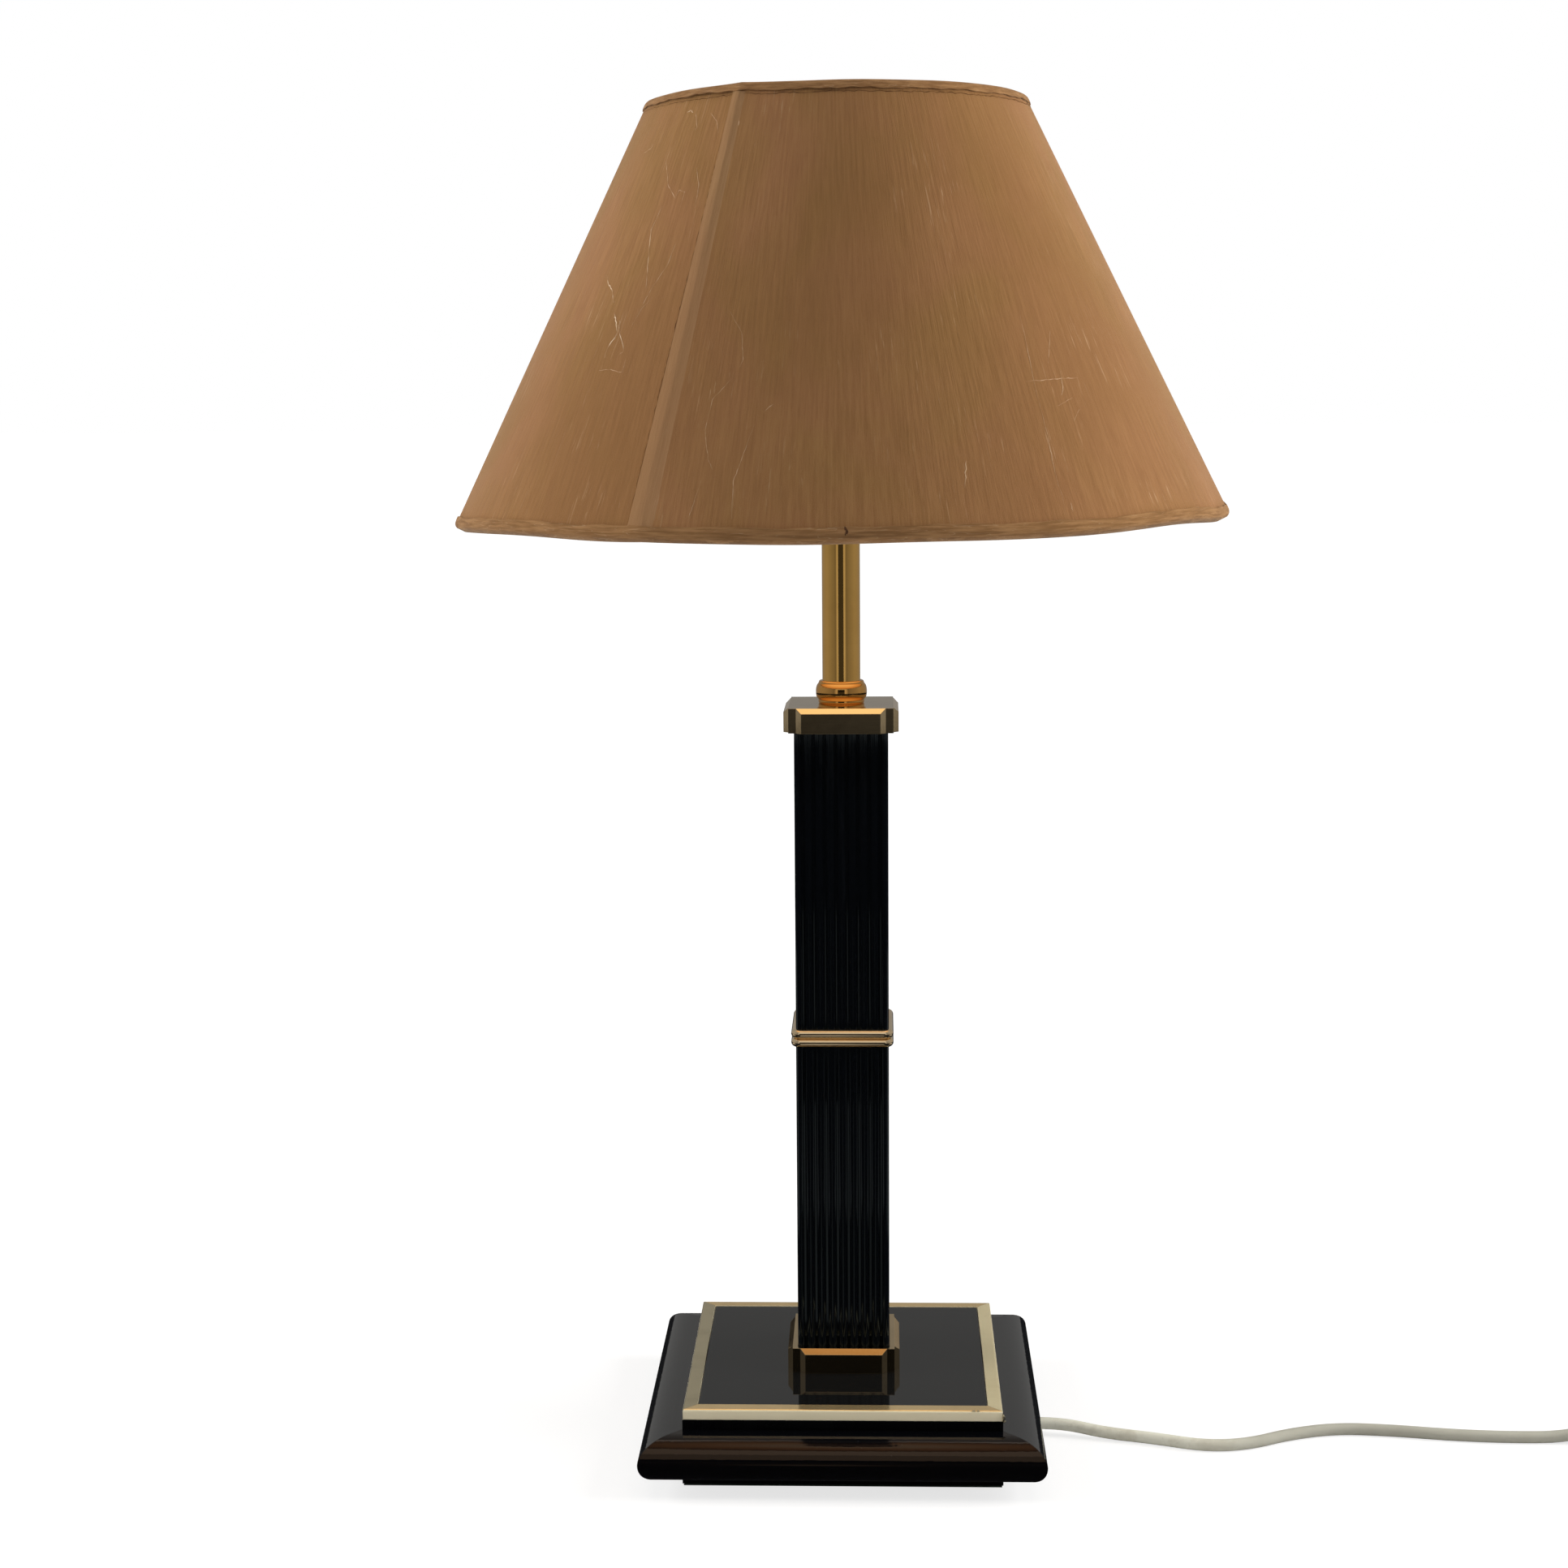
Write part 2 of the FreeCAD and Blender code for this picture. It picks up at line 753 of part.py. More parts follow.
def rod_nut():
    corner = rod_nut_width / 2 / math.cos(math.pi / 6)
    points = []
    for index in range(6):
        angle = index * math.pi / 3
        points.append((corner * math.cos(angle), corner * math.sin(angle), nut_bottom_z))
    nut = polygon_face(points).extrude(Vector(0, 0, rod_nut_height))
    return only_solid(nut.cut(rod(rod_radius + running_clearance, nut_bottom_z, nut_top_z)))


def rod_washers():
    """Flat washer against the ballast and a lock washer under it."""
    bore = rod_radius + rod_clearance
    flat_bottom_z = washer_top_z - flat_washer_thickness
    flat = rod(flat_washer_radius, flat_bottom_z, washer_top_z)
    lock = rod(lock_washer_radius, nut_top_z, flat_bottom_z)
    hole = rod(bore, nut_top_z, washer_top_z)
    return [only_solid(flat.cut(hole)), only_solid(lock.cut(hole))]


def collar():
    """Turned ring with a round belly, bored for the rod and counterbored for the tube."""
    low = capital_top_z
    high = collar_top_z
    foot = low + collar_foot_height
    shoulder = high - collar_shoulder_height
    foot_middle_radius = collar_foot_radius + (collar_belly_radius - collar_foot_radius) * 0.75
    top_middle_radius = collar_top_radius + (collar_belly_radius - collar_top_radius) * 0.72
    hole = rod_radius + running_clearance
    seat = neck_tube_radius + running_clearance
    edges = [
        line((hole, low, 0), (collar_foot_radius, low, 0)),
        arc(
            (collar_foot_radius, low, 0),
            (foot_middle_radius, low + collar_foot_height * 0.4, 0),
            (collar_belly_radius, foot, 0),
        ),
        line((collar_belly_radius, foot, 0), (collar_belly_radius, shoulder, 0)),
        arc(
            (collar_belly_radius, shoulder, 0),
            (top_middle_radius, high - collar_shoulder_height * 0.32, 0),
            (collar_top_radius, high, 0),
        ),
        line((collar_top_radius, high, 0), (seat, high, 0)),
        line((seat, high, 0), (seat, neck_bottom_z, 0)),
        line((seat, neck_bottom_z, 0), (hole, neck_bottom_z, 0)),
        line((hole, neck_bottom_z, 0), (hole, low, 0)),
    ]
    return upright_face(edges).revolve(ORIGIN, UP, 360)


def neck_tube():
    outer = rod(neck_tube_radius, neck_bottom_z, holder_z)
    return only_solid(outer.cut(rod(neck_tube_radius - neck_tube_wall, neck_bottom_z, holder_z)))


# ---- lampholder ----
def lampholder_cap():
    bore = rod_radius + running_clearance
    hollow = holder_cap_radius - holder_wall
    floor_z = holder_z + holder_cap_floor
    return turned([
        (bore, holder_z),
        (holder_cap_mouth_radius, holder_z),
        (holder_cap_radius, holder_z + holder_cap_shoulder_height),
        (holder_cap_radius, skirt_z),
        (hollow, skirt_z),
        (hollow, floor_z),
        (bore, floor_z),
    ])


def lampholder_skirt():
    top = skirt_z + holder_skirt_height
    return turned([
        (holder_skirt_bore_radius, skirt_z),
        (holder_flange_radius, skirt_z),
        (holder_flange_radius, carrier_z),
        (holder_skirt_radius, carrier_z),
        (holder_skirt_radius, top),
        (holder_skirt_bore_radius, top),
    ])


def lampholder_insert():
    return rod(holder_skirt_bore_radius - running_clearance, insert_bottom_z, insert_top_z)


def lampholder_screw_shell():
    outer = rod(bulb_bore_radius + screw_shell_wall, insert_top_z, insert_top_z + screw_shell_height)
    return only_solid(outer.cut(rod(bulb_bore_radius, insert_top_z, insert_top_z + screw_shell_height)))


def lampholder_contact():
    """Flat spring on the insert, under the bulb's tip."""
    half = contact_width / 2
    return block(half * 2, half, insert_top_z, insert_top_z + contact_thickness)


def terminal_screws():
    low = insert_bottom_z - terminal_screw_length
    offset = terminal_spacing / 2
    return [rod(terminal_screw_radius, low, insert_bottom_z, x, 0) for x in (-offset, offset)]


# ---- bulb ----
def bulb_cap():
    """Screw cap with rounded-off thread turns."""
    crest = bulb_cap_radius
    root = crest - bulb_thread_depth
    points = [(0, bulb_cap_bottom_z), (bulb_contact_radius, bulb_cap_bottom_z)]
    for turn in range(bulb_thread_turns):
        z = bulb_cap_bottom_z + turn * bulb_thread_pitch
        points.append((root, z + 0.15 * bulb_thread_pitch))
        points.append((crest, z + 0.45 * bulb_thread_pitch))
        points.append((crest, z + 0.65 * bulb_thread_pitch))
        points.append((root, z + 0.95 * bulb_thread_pitch))
    points.append((crest, bulb_glass_z - bulb_cap_top_land / 2))
    points.append((crest, bulb_glass_z))
    points.append((0, bulb_glass_z))
    return turned(points)


def bulb_contact():
    """Black insulator under the cap, ending in the contact tip."""
    tip_z = bulb_cap_bottom_z - bulb_contact_height
    return turned([
        (0, tip_z),
        (contact_width / 2, tip_z),
        (bulb_contact_radius, bulb_cap_bottom_z),
        (0, bulb_cap_bottom_z),
    ])


def bulb_outline(neck_radius, ball_radius, centre_z, neck_top_z, low_z):
    """Edges from the neck's foot up to the bulb's top, and the neck's start point."""
    drop = centre_z - neck_top_z
    reach = math.hypot(neck_radius, drop)
    bearing = math.atan2(-drop, neck_radius)
    touch = bearing + math.acos(ball_radius / reach)
    touch_point = (ball_radius * math.cos(touch), centre_z + ball_radius * math.sin(touch), 0)
    half_way = (touch + math.pi / 2) / 2
    middle = (ball_radius * math.cos(half_way), centre_z + ball_radius * math.sin(half_way), 0)
    crown = (0, centre_z + ball_radius, 0)
    edges = [
        line((neck_radius, low_z, 0), (neck_radius, neck_top_z, 0)),
        line((neck_radius, neck_top_z, 0), touch_point),
        arc(touch_point, middle, crown),
    ]
    return edges


def bulb_glass():
    centre_z = bulb_glass_z + bulb_glass_height - bulb_radius
    neck_top_z = bulb_glass_z + bulb_neck_height
    wall = bulb_glass_thickness
    outside = bulb_outline(bulb_neck_radius, bulb_radius, centre_z, neck_top_z, bulb_glass_z)
    inside = bulb_outline(bulb_neck_radius - wall, bulb_radius - wall, centre_z, neck_top_z, bulb_glass_z)
    crown_z = centre_z + bulb_radius
    foot = line((bulb_neck_radius - wall, bulb_glass_z, 0), (bulb_neck_radius, bulb_glass_z, 0))
    axis = line((0, crown_z, 0), (0, crown_z - wall, 0))
    edges = [foot] + outside + [axis] + inside[::-1]
    return upright_face(edges).revolve(ORIGIN, UP, 360)


# ---- shade ----
def on_shade(up_slope, outward):
    """(radius, z) of a point measured up the shade's slope and out of its surface."""
    radius = shade_bottom_radius - up_slope * math.sin(shade_slope) + outward * math.cos(shade_slope)
    z = shade_bottom_z + up_slope * math.cos(shade_slope) + outward * math.sin(shade_slope)
    return radius, z


def shade_layer(low, high, inner, outer):
    """Conical layer between two distances up the slope."""
    return turned([on_shade(low, inner), on_shade(low, outer), on_shade(high, outer), on_shade(high, inner)])


def shade_skin():
    edge = binding_thickness + shade_play
    return shade_layer(edge, shade_slant - edge, -shade_card_thickness, 0)


def shade_liner():
    edge = binding_thickness + shade_play
    return shade_layer(edge, shade_slant - edge, -shade_wall, -shade_card_thickness)


def shade_seam_lap():
    """Lapped end of the card, a narrow raised strip from rim to rim."""
    low = binding_width
    high = shade_slant - binding_width
    lift = seam_thickness
    corners = [on_shade(low, 0), on_shade(low, lift), on_shade(high, lift), on_shade(high, 0)]
    section = polygon_face([(radius, 0, z) for radius, z in corners])
    strip = section.revolve(ORIGIN, UP, seam_width_degrees)
    return turned_about_z(strip, seam_start_degrees)


def shade_wire(up_slope):
    """Round wire hoop that lies against the liner."""
    radius, z = on_shade(up_slope, hoop_depth)
    return Part.makeTorus(radius, shade_wire_radius, Vector(0, 0, z), UP)


def binding_strip(rim, inward):
    """Strip folded over a rim: outer leg, web and inner leg. inward is +1 up or -1 down the slope."""
    wall = binding_thickness
    outer = wall
    inner = hoop_depth - shade_wire_radius - shade_play - wall
    start = rim
    web = rim + inward * wall
    end = rim + inward * binding_width
    short_end = rim + inward * (wall + shade_wire_radius)
    return turned([
        on_shade(start, outer),
        on_shade(end, outer),
        on_shade(end, 0),
        on_shade(web, 0),
        on_shade(web, inner + wall),
        on_shade(short_end, inner + wall),
        on_shade(short_end, inner),
        on_shade(start, inner),
    ])


def shade_wire_bottom():
    return shade_wire(hoop_slope)


def shade_wire_top():
    return shade_wire(shade_slant - hoop_slope)


def spokes():
    """Round spokes from the carrier ring down to the bottom hoop."""
    hoop_radius, hoop_z = on_shade(hoop_slope, hoop_depth)
    start_radius = holder_skirt_radius + carrier_ring_width - spoke_radius
    start_z = carrier_z + carrier_ring_thickness - spoke_radius
    made = []
    for index in range(spoke_count):
        start = Vector(start_radius, 0, start_z)
        run = Vector(hoop_radius, 0, hoop_z) - start
        spoke = Part.makeCylinder(spoke_radius, run.Length, start, run)
        made.append(turned_about_z(spoke, first_spoke_degrees + index * 360.0 / spoke_count))
    return made


def shade_spider():
    bore = holder_skirt_radius + running_clearance
    ring = rod(bore + carrier_ring_width, carrier_z, carrier_z + carrier_ring_thickness)
    hole = rod(bore, carrier_z - shade_hang, carrier_z + 2 * shade_hang)
    arms = [spoke.cut(shade_wire_bottom()) for spoke in spokes()]
    arms = [max(arm.Solids, key=lambda solid: solid.Volume) for arm in arms]
    return only_solid(ring.fuse(arms).cut(hole).removeSplitter())


def shade_binding_bottom():
    return only_solid(binding_strip(0, 1).cut(spokes()))


def shade_binding_top():
    return binding_strip(shade_slant, -1)


def shade_nut():
    """Screw ring that clamps the shade's carrier to the lampholder."""
    bore = holder_skirt_radius + running_clearance
    low = carrier_z + carrier_ring_thickness
    return turned([
        (bore, low),
        (shade_nut_radius, low),
        (shade_nut_radius, low + shade_nut_grip_height),
        (bore + 3.5, low + shade_nut_height),
        (bore, low + shade_nut_height),
    ])


# ---- mains lead ----
def strain_relief():
    """Tapered rubber sleeve through the base's right-hand side."""
    along = Vector(1, 0, 0)
    start = Vector(cavity_half, exit_y, exit_z)
    wall_x = plinth_width / 2
    plug_part = Part.makeCylinder(relief_root_radius, wall_x - cavity_half, start, along)
    taper = Part.makeCone(
        relief_root_radius,
        relief_tip_radius,
        relief_tip_x - wall_x,
        Vector(wall_x, exit_y, exit_z),
        along,
    )
    bore_radius = cord_radius + running_clearance
    bore = Part.makeCylinder(bore_radius, relief_tip_x - cavity_half, start, along)
    return only_solid(plug_part.fuse(taper).removeSplitter().cut(bore))


def inner_cord():
    """Lead inside the lamp: across the base, then up the threaded rod."""
    top = rod_top_z + inner_cord_top_gap
    corner_x = cavity_half - inner_bend_setback
    points = [
        (relief_tip_x, exit_y, exit_z),
        (corner_x, exit_y, exit_z),
        (0, 0, exit_z),
        (0, 0, top),
    ]
    turn = math.atan2(-exit_y, corner_x)
    first_radius = inner_bend_setback / math.tan(turn / 2)
    return cord_tube("inner_cord", points, [first_radius, inner_bend_radius])


def core_wires():
    """The two insulated cores, from the sheath's end to the terminal screws."""
    low = rod_top_z + inner_cord_top_gap
    high = insert_bottom_z - core_radius - 0.3
    reach = terminal_spacing / 2 - terminal_screw_radius
    wires = []
    for side in (-1, 1):
        points = [
            (side * core_radius, 0, low),
            (side * core_radius, 0, high),
            (side * reach, 0, high),
        ]
        wires.append(cord_tube("core", points, [2 * core_radius], core_radius))
    return wires


def coil_spot(turn):
    """Centre line of the coil after a number of turns, counted from the table layer's start."""
    climb = turn - coil_table_turns
    if climb <= 0:
        radius = coil_outer_radius - coil_pitch * turn
        z = coil_low_z
    elif climb >= coil_climb_turns:
        radius = coil_inner_radius + coil_pitch * (climb - coil_climb_turns)
        z = coil_high_z
    else:
        share = climb / coil_climb_turns
        radius = coil_inner_radius - coil_pitch * climb * (1 - share)
        z = coil_low_z + coil_pitch * (3 * share ** 2 - 2 * share ** 3)
    angle = 2 * math.pi * turn - math.pi / 2
    return Vector(
        coil_centre_x + radius * math.cos(angle),
        coil_centre_y + radius * math.sin(angle),
        z,
    )


def coil_direction(turn):
    step = 0.001
    return (coil_spot(turn + step) - coil_spot(turn - step)).normalize()


def least_gap(spots, skip, diameter):
    """Smallest gap between parts of one tube that aren't next to each other along it."""
    nearest = float("inf")
    for index, spot in enumerate(spots):
        for other in spots[index + skip:]:
            nearest = min(nearest, (other - spot).Length)
    return nearest - diameter


def cord_coil():
    """Lead wound in two layers: in on the table, then out on top."""
    total = coil_table_turns + coil_climb_turns + coil_top_turns
    spans = round(total * coil_quarters)
    turns = [index / coil_quarters for index in range(spans + 1)]
    spots = [coil_spot(turn) for turn in turns]
    directions = [coil_direction(turn) for turn in turns]
    directions[0] = Vector(1, 0, 0)
    directions[-1] = Vector(0, 1, 0)
    stub_start = Vector(*link_route[-1])
    stub_end = Vector(*tail_route[0])
    edges = [Part.LineSegment(stub_start, spots[0]).toShape()]
    radii = []
    for index in range(spans):
        arcs, used = biarc(spots[index], directions[index], spots[index + 1], directions[index + 1])
        edges.extend(arcs)
        radii.extend(used)
    edges.append(Part.LineSegment(spots[-1], stub_end).toShape())
    path = Part.Wire(edges)
    tube = swept_tube(path, cord_radius)
    samples = path.discretize(Number=int(path.Length / cord_radius))
    half_turn = int(math.pi * coil_inner_radius / cord_radius)
    report_tube("cord_coil", tube, path.Length, cord_radius, [min(radii), max(radii)])
    print("cord_coil: least gap to itself %.2f mm" % least_gap(samples, half_turn, cord_diameter))
    return tube


def cord_tie():
    """Flat band round the coil's two layers, on its right-hand side."""
    quarter = coil_pitch / 4
    low_z = coil_low_z - cord_radius - tie_clearance
    high_z = coil_high_z + cord_radius + tie_clearance
    near_x = coil_centre_x + coil_inner_radius + quarter - cord_radius - tie_side_clearance
    far_x = coil_centre_x + coil_outer_radius - quarter + cord_radius + tie_side_clearance
    wall = tie_thickness
    start = Vector(near_x - wall, coil_centre_y - tie_width / 2, low_z - wall)
    band = Part.makeBox(far_x - near_x + 2 * wall, tie_width, high_z - low_z + 2 * wall, start)
    band = band.makeFillet(wall, [edge for edge in band.Edges if runs_along_y(edge)])
    hollow = Part.makeBox(far_x - near_x, tie_width, high_z - low_z, Vector(near_x, start.y, low_z))
    return only_solid(band.cut(hollow))


def runs_along_y(edge):
    direction = edge.tangentAt(edge.FirstParameter)
    return abs(direction.y) > 0.99


def runs_upright(edge):
    direction = edge.tangentAt(edge.FirstParameter)
    return abs(direction.z) > 0.99


# ---- in-line switch ----
def switch_centre():
    return switch_x + switch_length / 2, switch_y


def rounded_slab(inset, z_low, z_high):
    """Switch outline, drawn in by inset."""
    x, y = switch_centre()
    length = switch_length - 2 * inset
    width = switch_width - 2 * inset
    slab = Part.makeBox(length, width, z_high - z_low, Vector(x - length / 2, y - width / 2, z_low))
    upright = [edge for edge in slab.Edges if runs_upright(edge)]
    return slab.makeFillet(switch_corner_radius - inset, upright)


def level_edges(shape, z):
    return [edge for edge in shape.Edges if abs(edge.BoundBox.ZMin - z) + abs(edge.BoundBox.ZMax - z) < 1e-6]


def switch_base():
    slab = rounded_slab(0, 0, switch_base_height)
    slab = slab.makeFillet(switch_edge_radius, level_edges(slab, 0))
    return only_solid(slab.cut(rounded_slab(switch_wall, switch_wall, switch_base_height)))


def rocker_pivot():
    x, y = switch_centre()
    return Vector(x, y, switch_base_height + switch_cover_height - rocker_pivot_below_top)


def switch_cover():
    """Upper half with the rocker's slot and two cheeks that carry its pins."""
    top = switch_base_height + switch_cover_height
    slab = rounded_slab(0, switch_base_height, top)
    slab = slab.makeFillet(switch_edge_radius, level_edges(slab, top))
    roof = top - switch_wall
    slab = slab.cut(rounded_slab(switch_wall, switch_base_height, roof))
    pivot = rocker_pivot()
    cheek_y = rocker_width / 2 + swing_gap
    cheeks = []
    for side in (-1, 1):
        low_y = pivot.y + side * (cheek_y + cheek_thickness / 2) - cheek_thickness / 2
        corner = Vector(pivot.x - cheek_length / 2, low_y, roof - cheek_height)
        cheeks.append(Part.makeBox(cheek_length, cheek_thickness, cheek_height, corner))
    slab = slab.fuse(cheeks)
    slot_half = rocker_half_length + swing_gap
    corner = Vector(pivot.x - slot_half, pivot.y - cheek_y, roof)
    slot = Part.makeBox(2 * slot_half, 2 * cheek_y, switch_wall, corner)
    pin_length = 2 * (cheek_y + cheek_thickness)
    pin_start = Vector(pivot.x, pivot.y - pin_length / 2, pivot.z)
    bores = Part.makeCylinder(rocker_pin_radius + running_clearance, pin_length, pin_start, Vector(0, 1, 0))
    return only_solid(slab.cut(slot).cut(bores).removeSplitter())


def switch_rocker():
    """Two-winged key on a cross pin, resting with its left wing down."""
    pivot = rocker_pivot()
    wing_x = math.sqrt(rocker_half_length ** 2 - rocker_wing_height ** 2)
    foot_x = math.sqrt(rocker_half_length ** 2 - rocker_depth ** 2)
    edges = [
        line((-foot_x, -rocker_depth, 0), (foot_x, -rocker_depth, 0)),
        arc((foot_x, -rocker_depth, 0), (rocker_half_length, 0, 0), (wing_x, rocker_wing_height, 0)),
        line((wing_x, rocker_wing_height, 0), (0, rocker_middle_height, 0)),
        line((0, rocker_middle_height, 0), (-wing_x, rocker_wing_height, 0)),
        arc((-wing_x, rocker_wing_height, 0), (-rocker_half_length, 0, 0), (-foot_x, -rocker_depth, 0)),
    ]
    section = upright_face(edges)
    section.translate(Vector(0, rocker_width / 2, 0))
    key = section.extrude(Vector(0, -rocker_width, 0))
    pin = Part.makeCylinder(
        rocker_pin_radius,
        rocker_pin_length,
        Vector(0, -rocker_pin_length / 2, 0),
        Vector(0, 1, 0),
    )
    rocker = only_solid(key.fuse(pin).removeSplitter())
    rocker.rotate(ORIGIN, Vector(0, 1, 0), -rocker_rest_degrees)
    rocker.translate(pivot)
    return rocker


# ---- plug ----
def placed_plug(shape):
    """Turns a shape drawn with the pins towards -X so that they point to +Y."""
    shape.rotate(ORIGIN, UP, -90)
    face_y = plug_y + plug_sleeve_length + plug_body_length
    shape.translate(Vector(plug_x, face_y, plug_axis_z))
    return shape


def plug_pins():
    """Two round pins, each with a thinner root held in the body."""
    pins = []
    for side in (-1, 1):
        face = Vector(0, side * plug_pin_spacing / 2, 0)
        pin = Part.makeCylinder(plug_pin_radius, plug_pin_length, face, Vector(-1, 0, 0))
        tips = [edge for edge in pin.Edges if abs(edge.BoundBox.XMax + plug_pin_length) < 1e-6]
        pin = pin.makeFillet(plug_pin_tip_round, tips)
        root = Part.makeCylinder(plug_pin_root_radius, plug_pin_root_length, face, Vector(1, 0, 0))
        pins.append(placed_plug(only_solid(pin.fuse(root).removeSplitter())))
    return pins


def plug_body():
    """Flat two-pin plug with a tapered cord sleeve."""
    half = plug_width / 2
    rear = plug_rear_width / 2
    low = -plug_axis_z
    points = [
        (0, -half, low),
        (plug_shoulder_length, -half, low),
        (plug_body_length, -rear, low),
        (plug_body_length, rear, low),
        (plug_shoulder_length, half, low),
        (0, half, low),
    ]
    body = polygon_face(points).extrude(Vector(0, 0, plug_thickness))
    body = body.makeFillet(plug_edge_radius, body.Edges)
    sleeve = Part.makeCone(
        plug_sleeve_root_radius,
        plug_sleeve_tip_radius,
        plug_sleeve_length + plug_edge_radius,
        Vector(plug_body_length - plug_edge_radius, 0, 0),
        Vector(1, 0, 0),
    )
    sockets = []
    for side in (-1, 1):
        start = Vector(0, side * plug_pin_spacing / 2, 0)
        radius = plug_pin_root_radius + running_clearance
        sockets.append(Part.makeCylinder(radius, plug_pin_root_length, start, Vector(1, 0, 0)))
    return placed_plug(only_solid(body.fuse(sleeve).cut(sockets)))


# ---- all pieces ----
def all_pieces():
    pieces = {
        "base_felt": base_felt(),
        "bottom_cover": bottom_cover(),
        "cover_screws": cover_screws(),
        "corner_blocks": corner_blocks(),
        "base_deck": base_deck(),
        "ballast_disc": ballast_disc(),
        "top_plate": top_plate(),
        "foot_ferrule": foot_ferrule(),
        "lower_shaft": reeded_shaft(ferrule_floor_z, ring_bottom_z),
        "mid_ring": mid_ring(),
        "upper_shaft": reeded_shaft(ring_top_z, capital_roof_z),
        "capital": capital(),
        "collar": collar(),
        "neck_tube": neck_tube(),
        "threaded_rod": threaded_rod(),
        "rod_nut": rod_nut(),
        "rod_washers": rod_washers(),
        "lampholder_cap": lampholder_cap(),
        "lampholder_skirt": lampholder_skirt(),
        "lampholder_insert": lampholder_insert(),
        "lampholder_screw_shell": lampholder_screw_shell(),
        "lampholder_contact": lampholder_contact(),
        "terminal_screws": terminal_screws(),
        "bulb_cap": bulb_cap(),
        "bulb_contact": bulb_contact(),
        "bulb_glass": bulb_glass(),
        "shade_skin": shade_skin(),
        "shade_liner": shade_liner(),
        "shade_seam_lap": shade_seam_lap(),
        "shade_wire_bottom": shade_wire_bottom(),
        "shade_wire_top": shade_wire_top(),
        "shade_binding_bottom": shade_binding_bottom(),
        "shade_binding_top": shade_binding_top(),
        "shade_spider": shade_spider(),
        "shade_nut": shade_nut(),
        "strain_relief": strain_relief(),
        "inner_cord": inner_cord(),
        "core_wires": core_wires(),
        "cord_run": cord_tube("cord_run", run_route),
        "cord_link": cord_tube("cord_link", link_route),
        "cord_coil": cord_coil(),
        "cord_tail": cord_tube("cord_tail", tail_route),
        "cord_tie": cord_tie(),
        "switch_base": switch_base(),
        "switch_cover": switch_cover(),
        "switch_rocker": switch_rocker(),
        "plug_body": plug_body(),
        "plug_pins": plug_pins(),
    }
    pieces.update(plinth_rails())
    pieces.update(base_mouldings())
    pieces.update(four_rails("brass_rail", frame_section(), frame_width / 2))
    return pieces


def main():
    os.makedirs("parts", exist_ok=True)
    for name, piece in sorted(all_pieces().items()):
        shape = Part.makeCompound(piece) if isinstance(piece, list) else piece
        if not shape.isValid():
            print("not valid:", name)
        shape.exportStep("parts/%s.step" % name)
        print("%-24s %d solid(s) %10.1f mm3" % (name, len(shape.Solids), shape.Volume))


main()
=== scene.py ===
"""Column table lamp: lays the mains lead, makes the card shade and dresses every part."""

import logging
import math
import random
from dataclasses import dataclass, field
from enum import Enum
from typing import Callable, Optional, Sequence

import bmesh
import bpy
from mathutils import Matrix, Vector


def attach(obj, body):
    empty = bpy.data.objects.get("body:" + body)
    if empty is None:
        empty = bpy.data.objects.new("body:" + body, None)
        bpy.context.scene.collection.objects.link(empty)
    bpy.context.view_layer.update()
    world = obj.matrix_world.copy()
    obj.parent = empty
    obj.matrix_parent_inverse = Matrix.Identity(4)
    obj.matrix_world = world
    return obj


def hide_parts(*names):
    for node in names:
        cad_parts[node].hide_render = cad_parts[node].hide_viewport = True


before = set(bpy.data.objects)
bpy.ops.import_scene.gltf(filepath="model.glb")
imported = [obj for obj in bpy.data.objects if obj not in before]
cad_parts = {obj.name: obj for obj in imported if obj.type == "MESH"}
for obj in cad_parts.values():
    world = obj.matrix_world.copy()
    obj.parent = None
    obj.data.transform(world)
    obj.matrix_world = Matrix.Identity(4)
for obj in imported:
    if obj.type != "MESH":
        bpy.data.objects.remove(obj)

LOG = logging.getLogger("table_lamp")
LAMP = "lamp"
MM = 0.001
DRAW_SEED = 7

# Places of the colour sockets on a Mix node, whose names repeat for every data type.
MIX_FACTOR, MIX_FIRST, MIX_SECOND, MIX_RESULT = 0, 6, 7, 2
BEVEL_SAMPLES = 6

Colour = tuple[float, float, float]
Point = tuple[float, float, float]


class RayKind(Enum):
    """Light Path outputs that tell which rays see the backdrop as it is written."""

    CAMERA = "Is Camera Ray"
    GLOSSY = "Is Glossy Ray"
    TRANSMISSION = "Is Transmission Ray"


class Grain(Enum):
    """Direction in which a surface was brushed or drawn."""

    ALONG_X = (0.04, 1.0, 1.0)
    ALONG_Y = (1.0, 0.04, 1.0)
    ALONG_Z = (1.0, 1.0, 0.03)
    EVEN = (1.0, 1.0, 1.0)


# ---- shader nodes ----


def bare_tree(owner: bpy.types.Material | bpy.types.World) -> bpy.types.NodeTree:
    """Gives a material or world an empty node tree.

    Args:
        owner: the material or world.

    Returns:
        Its tree.
    """
    owner.use_nodes = True
    owner.node_tree.nodes.clear()
    return owner.node_tree


def component(
    tree: bpy.types.NodeTree, vector: bpy.types.NodeSocket, axis: Optional[str]
) -> bpy.types.NodeSocket:
    """One component of a vector, or its length.

    Args:
        tree: the node tree to add to.
        vector: the socket to read.
        axis: X, Y or Z, or None for the length.

    Returns:
        The value's socket.
    """
    if axis is None:
        node = tree.nodes.new("ShaderNodeVectorMath")
        node.operation = "LENGTH"
        output = node.outputs["Value"]
    else:
        node = tree.nodes.new("ShaderNodeSeparateXYZ")
        output = node.outputs[axis]
    tree.links.new(vector, node.inputs[0])
    return output


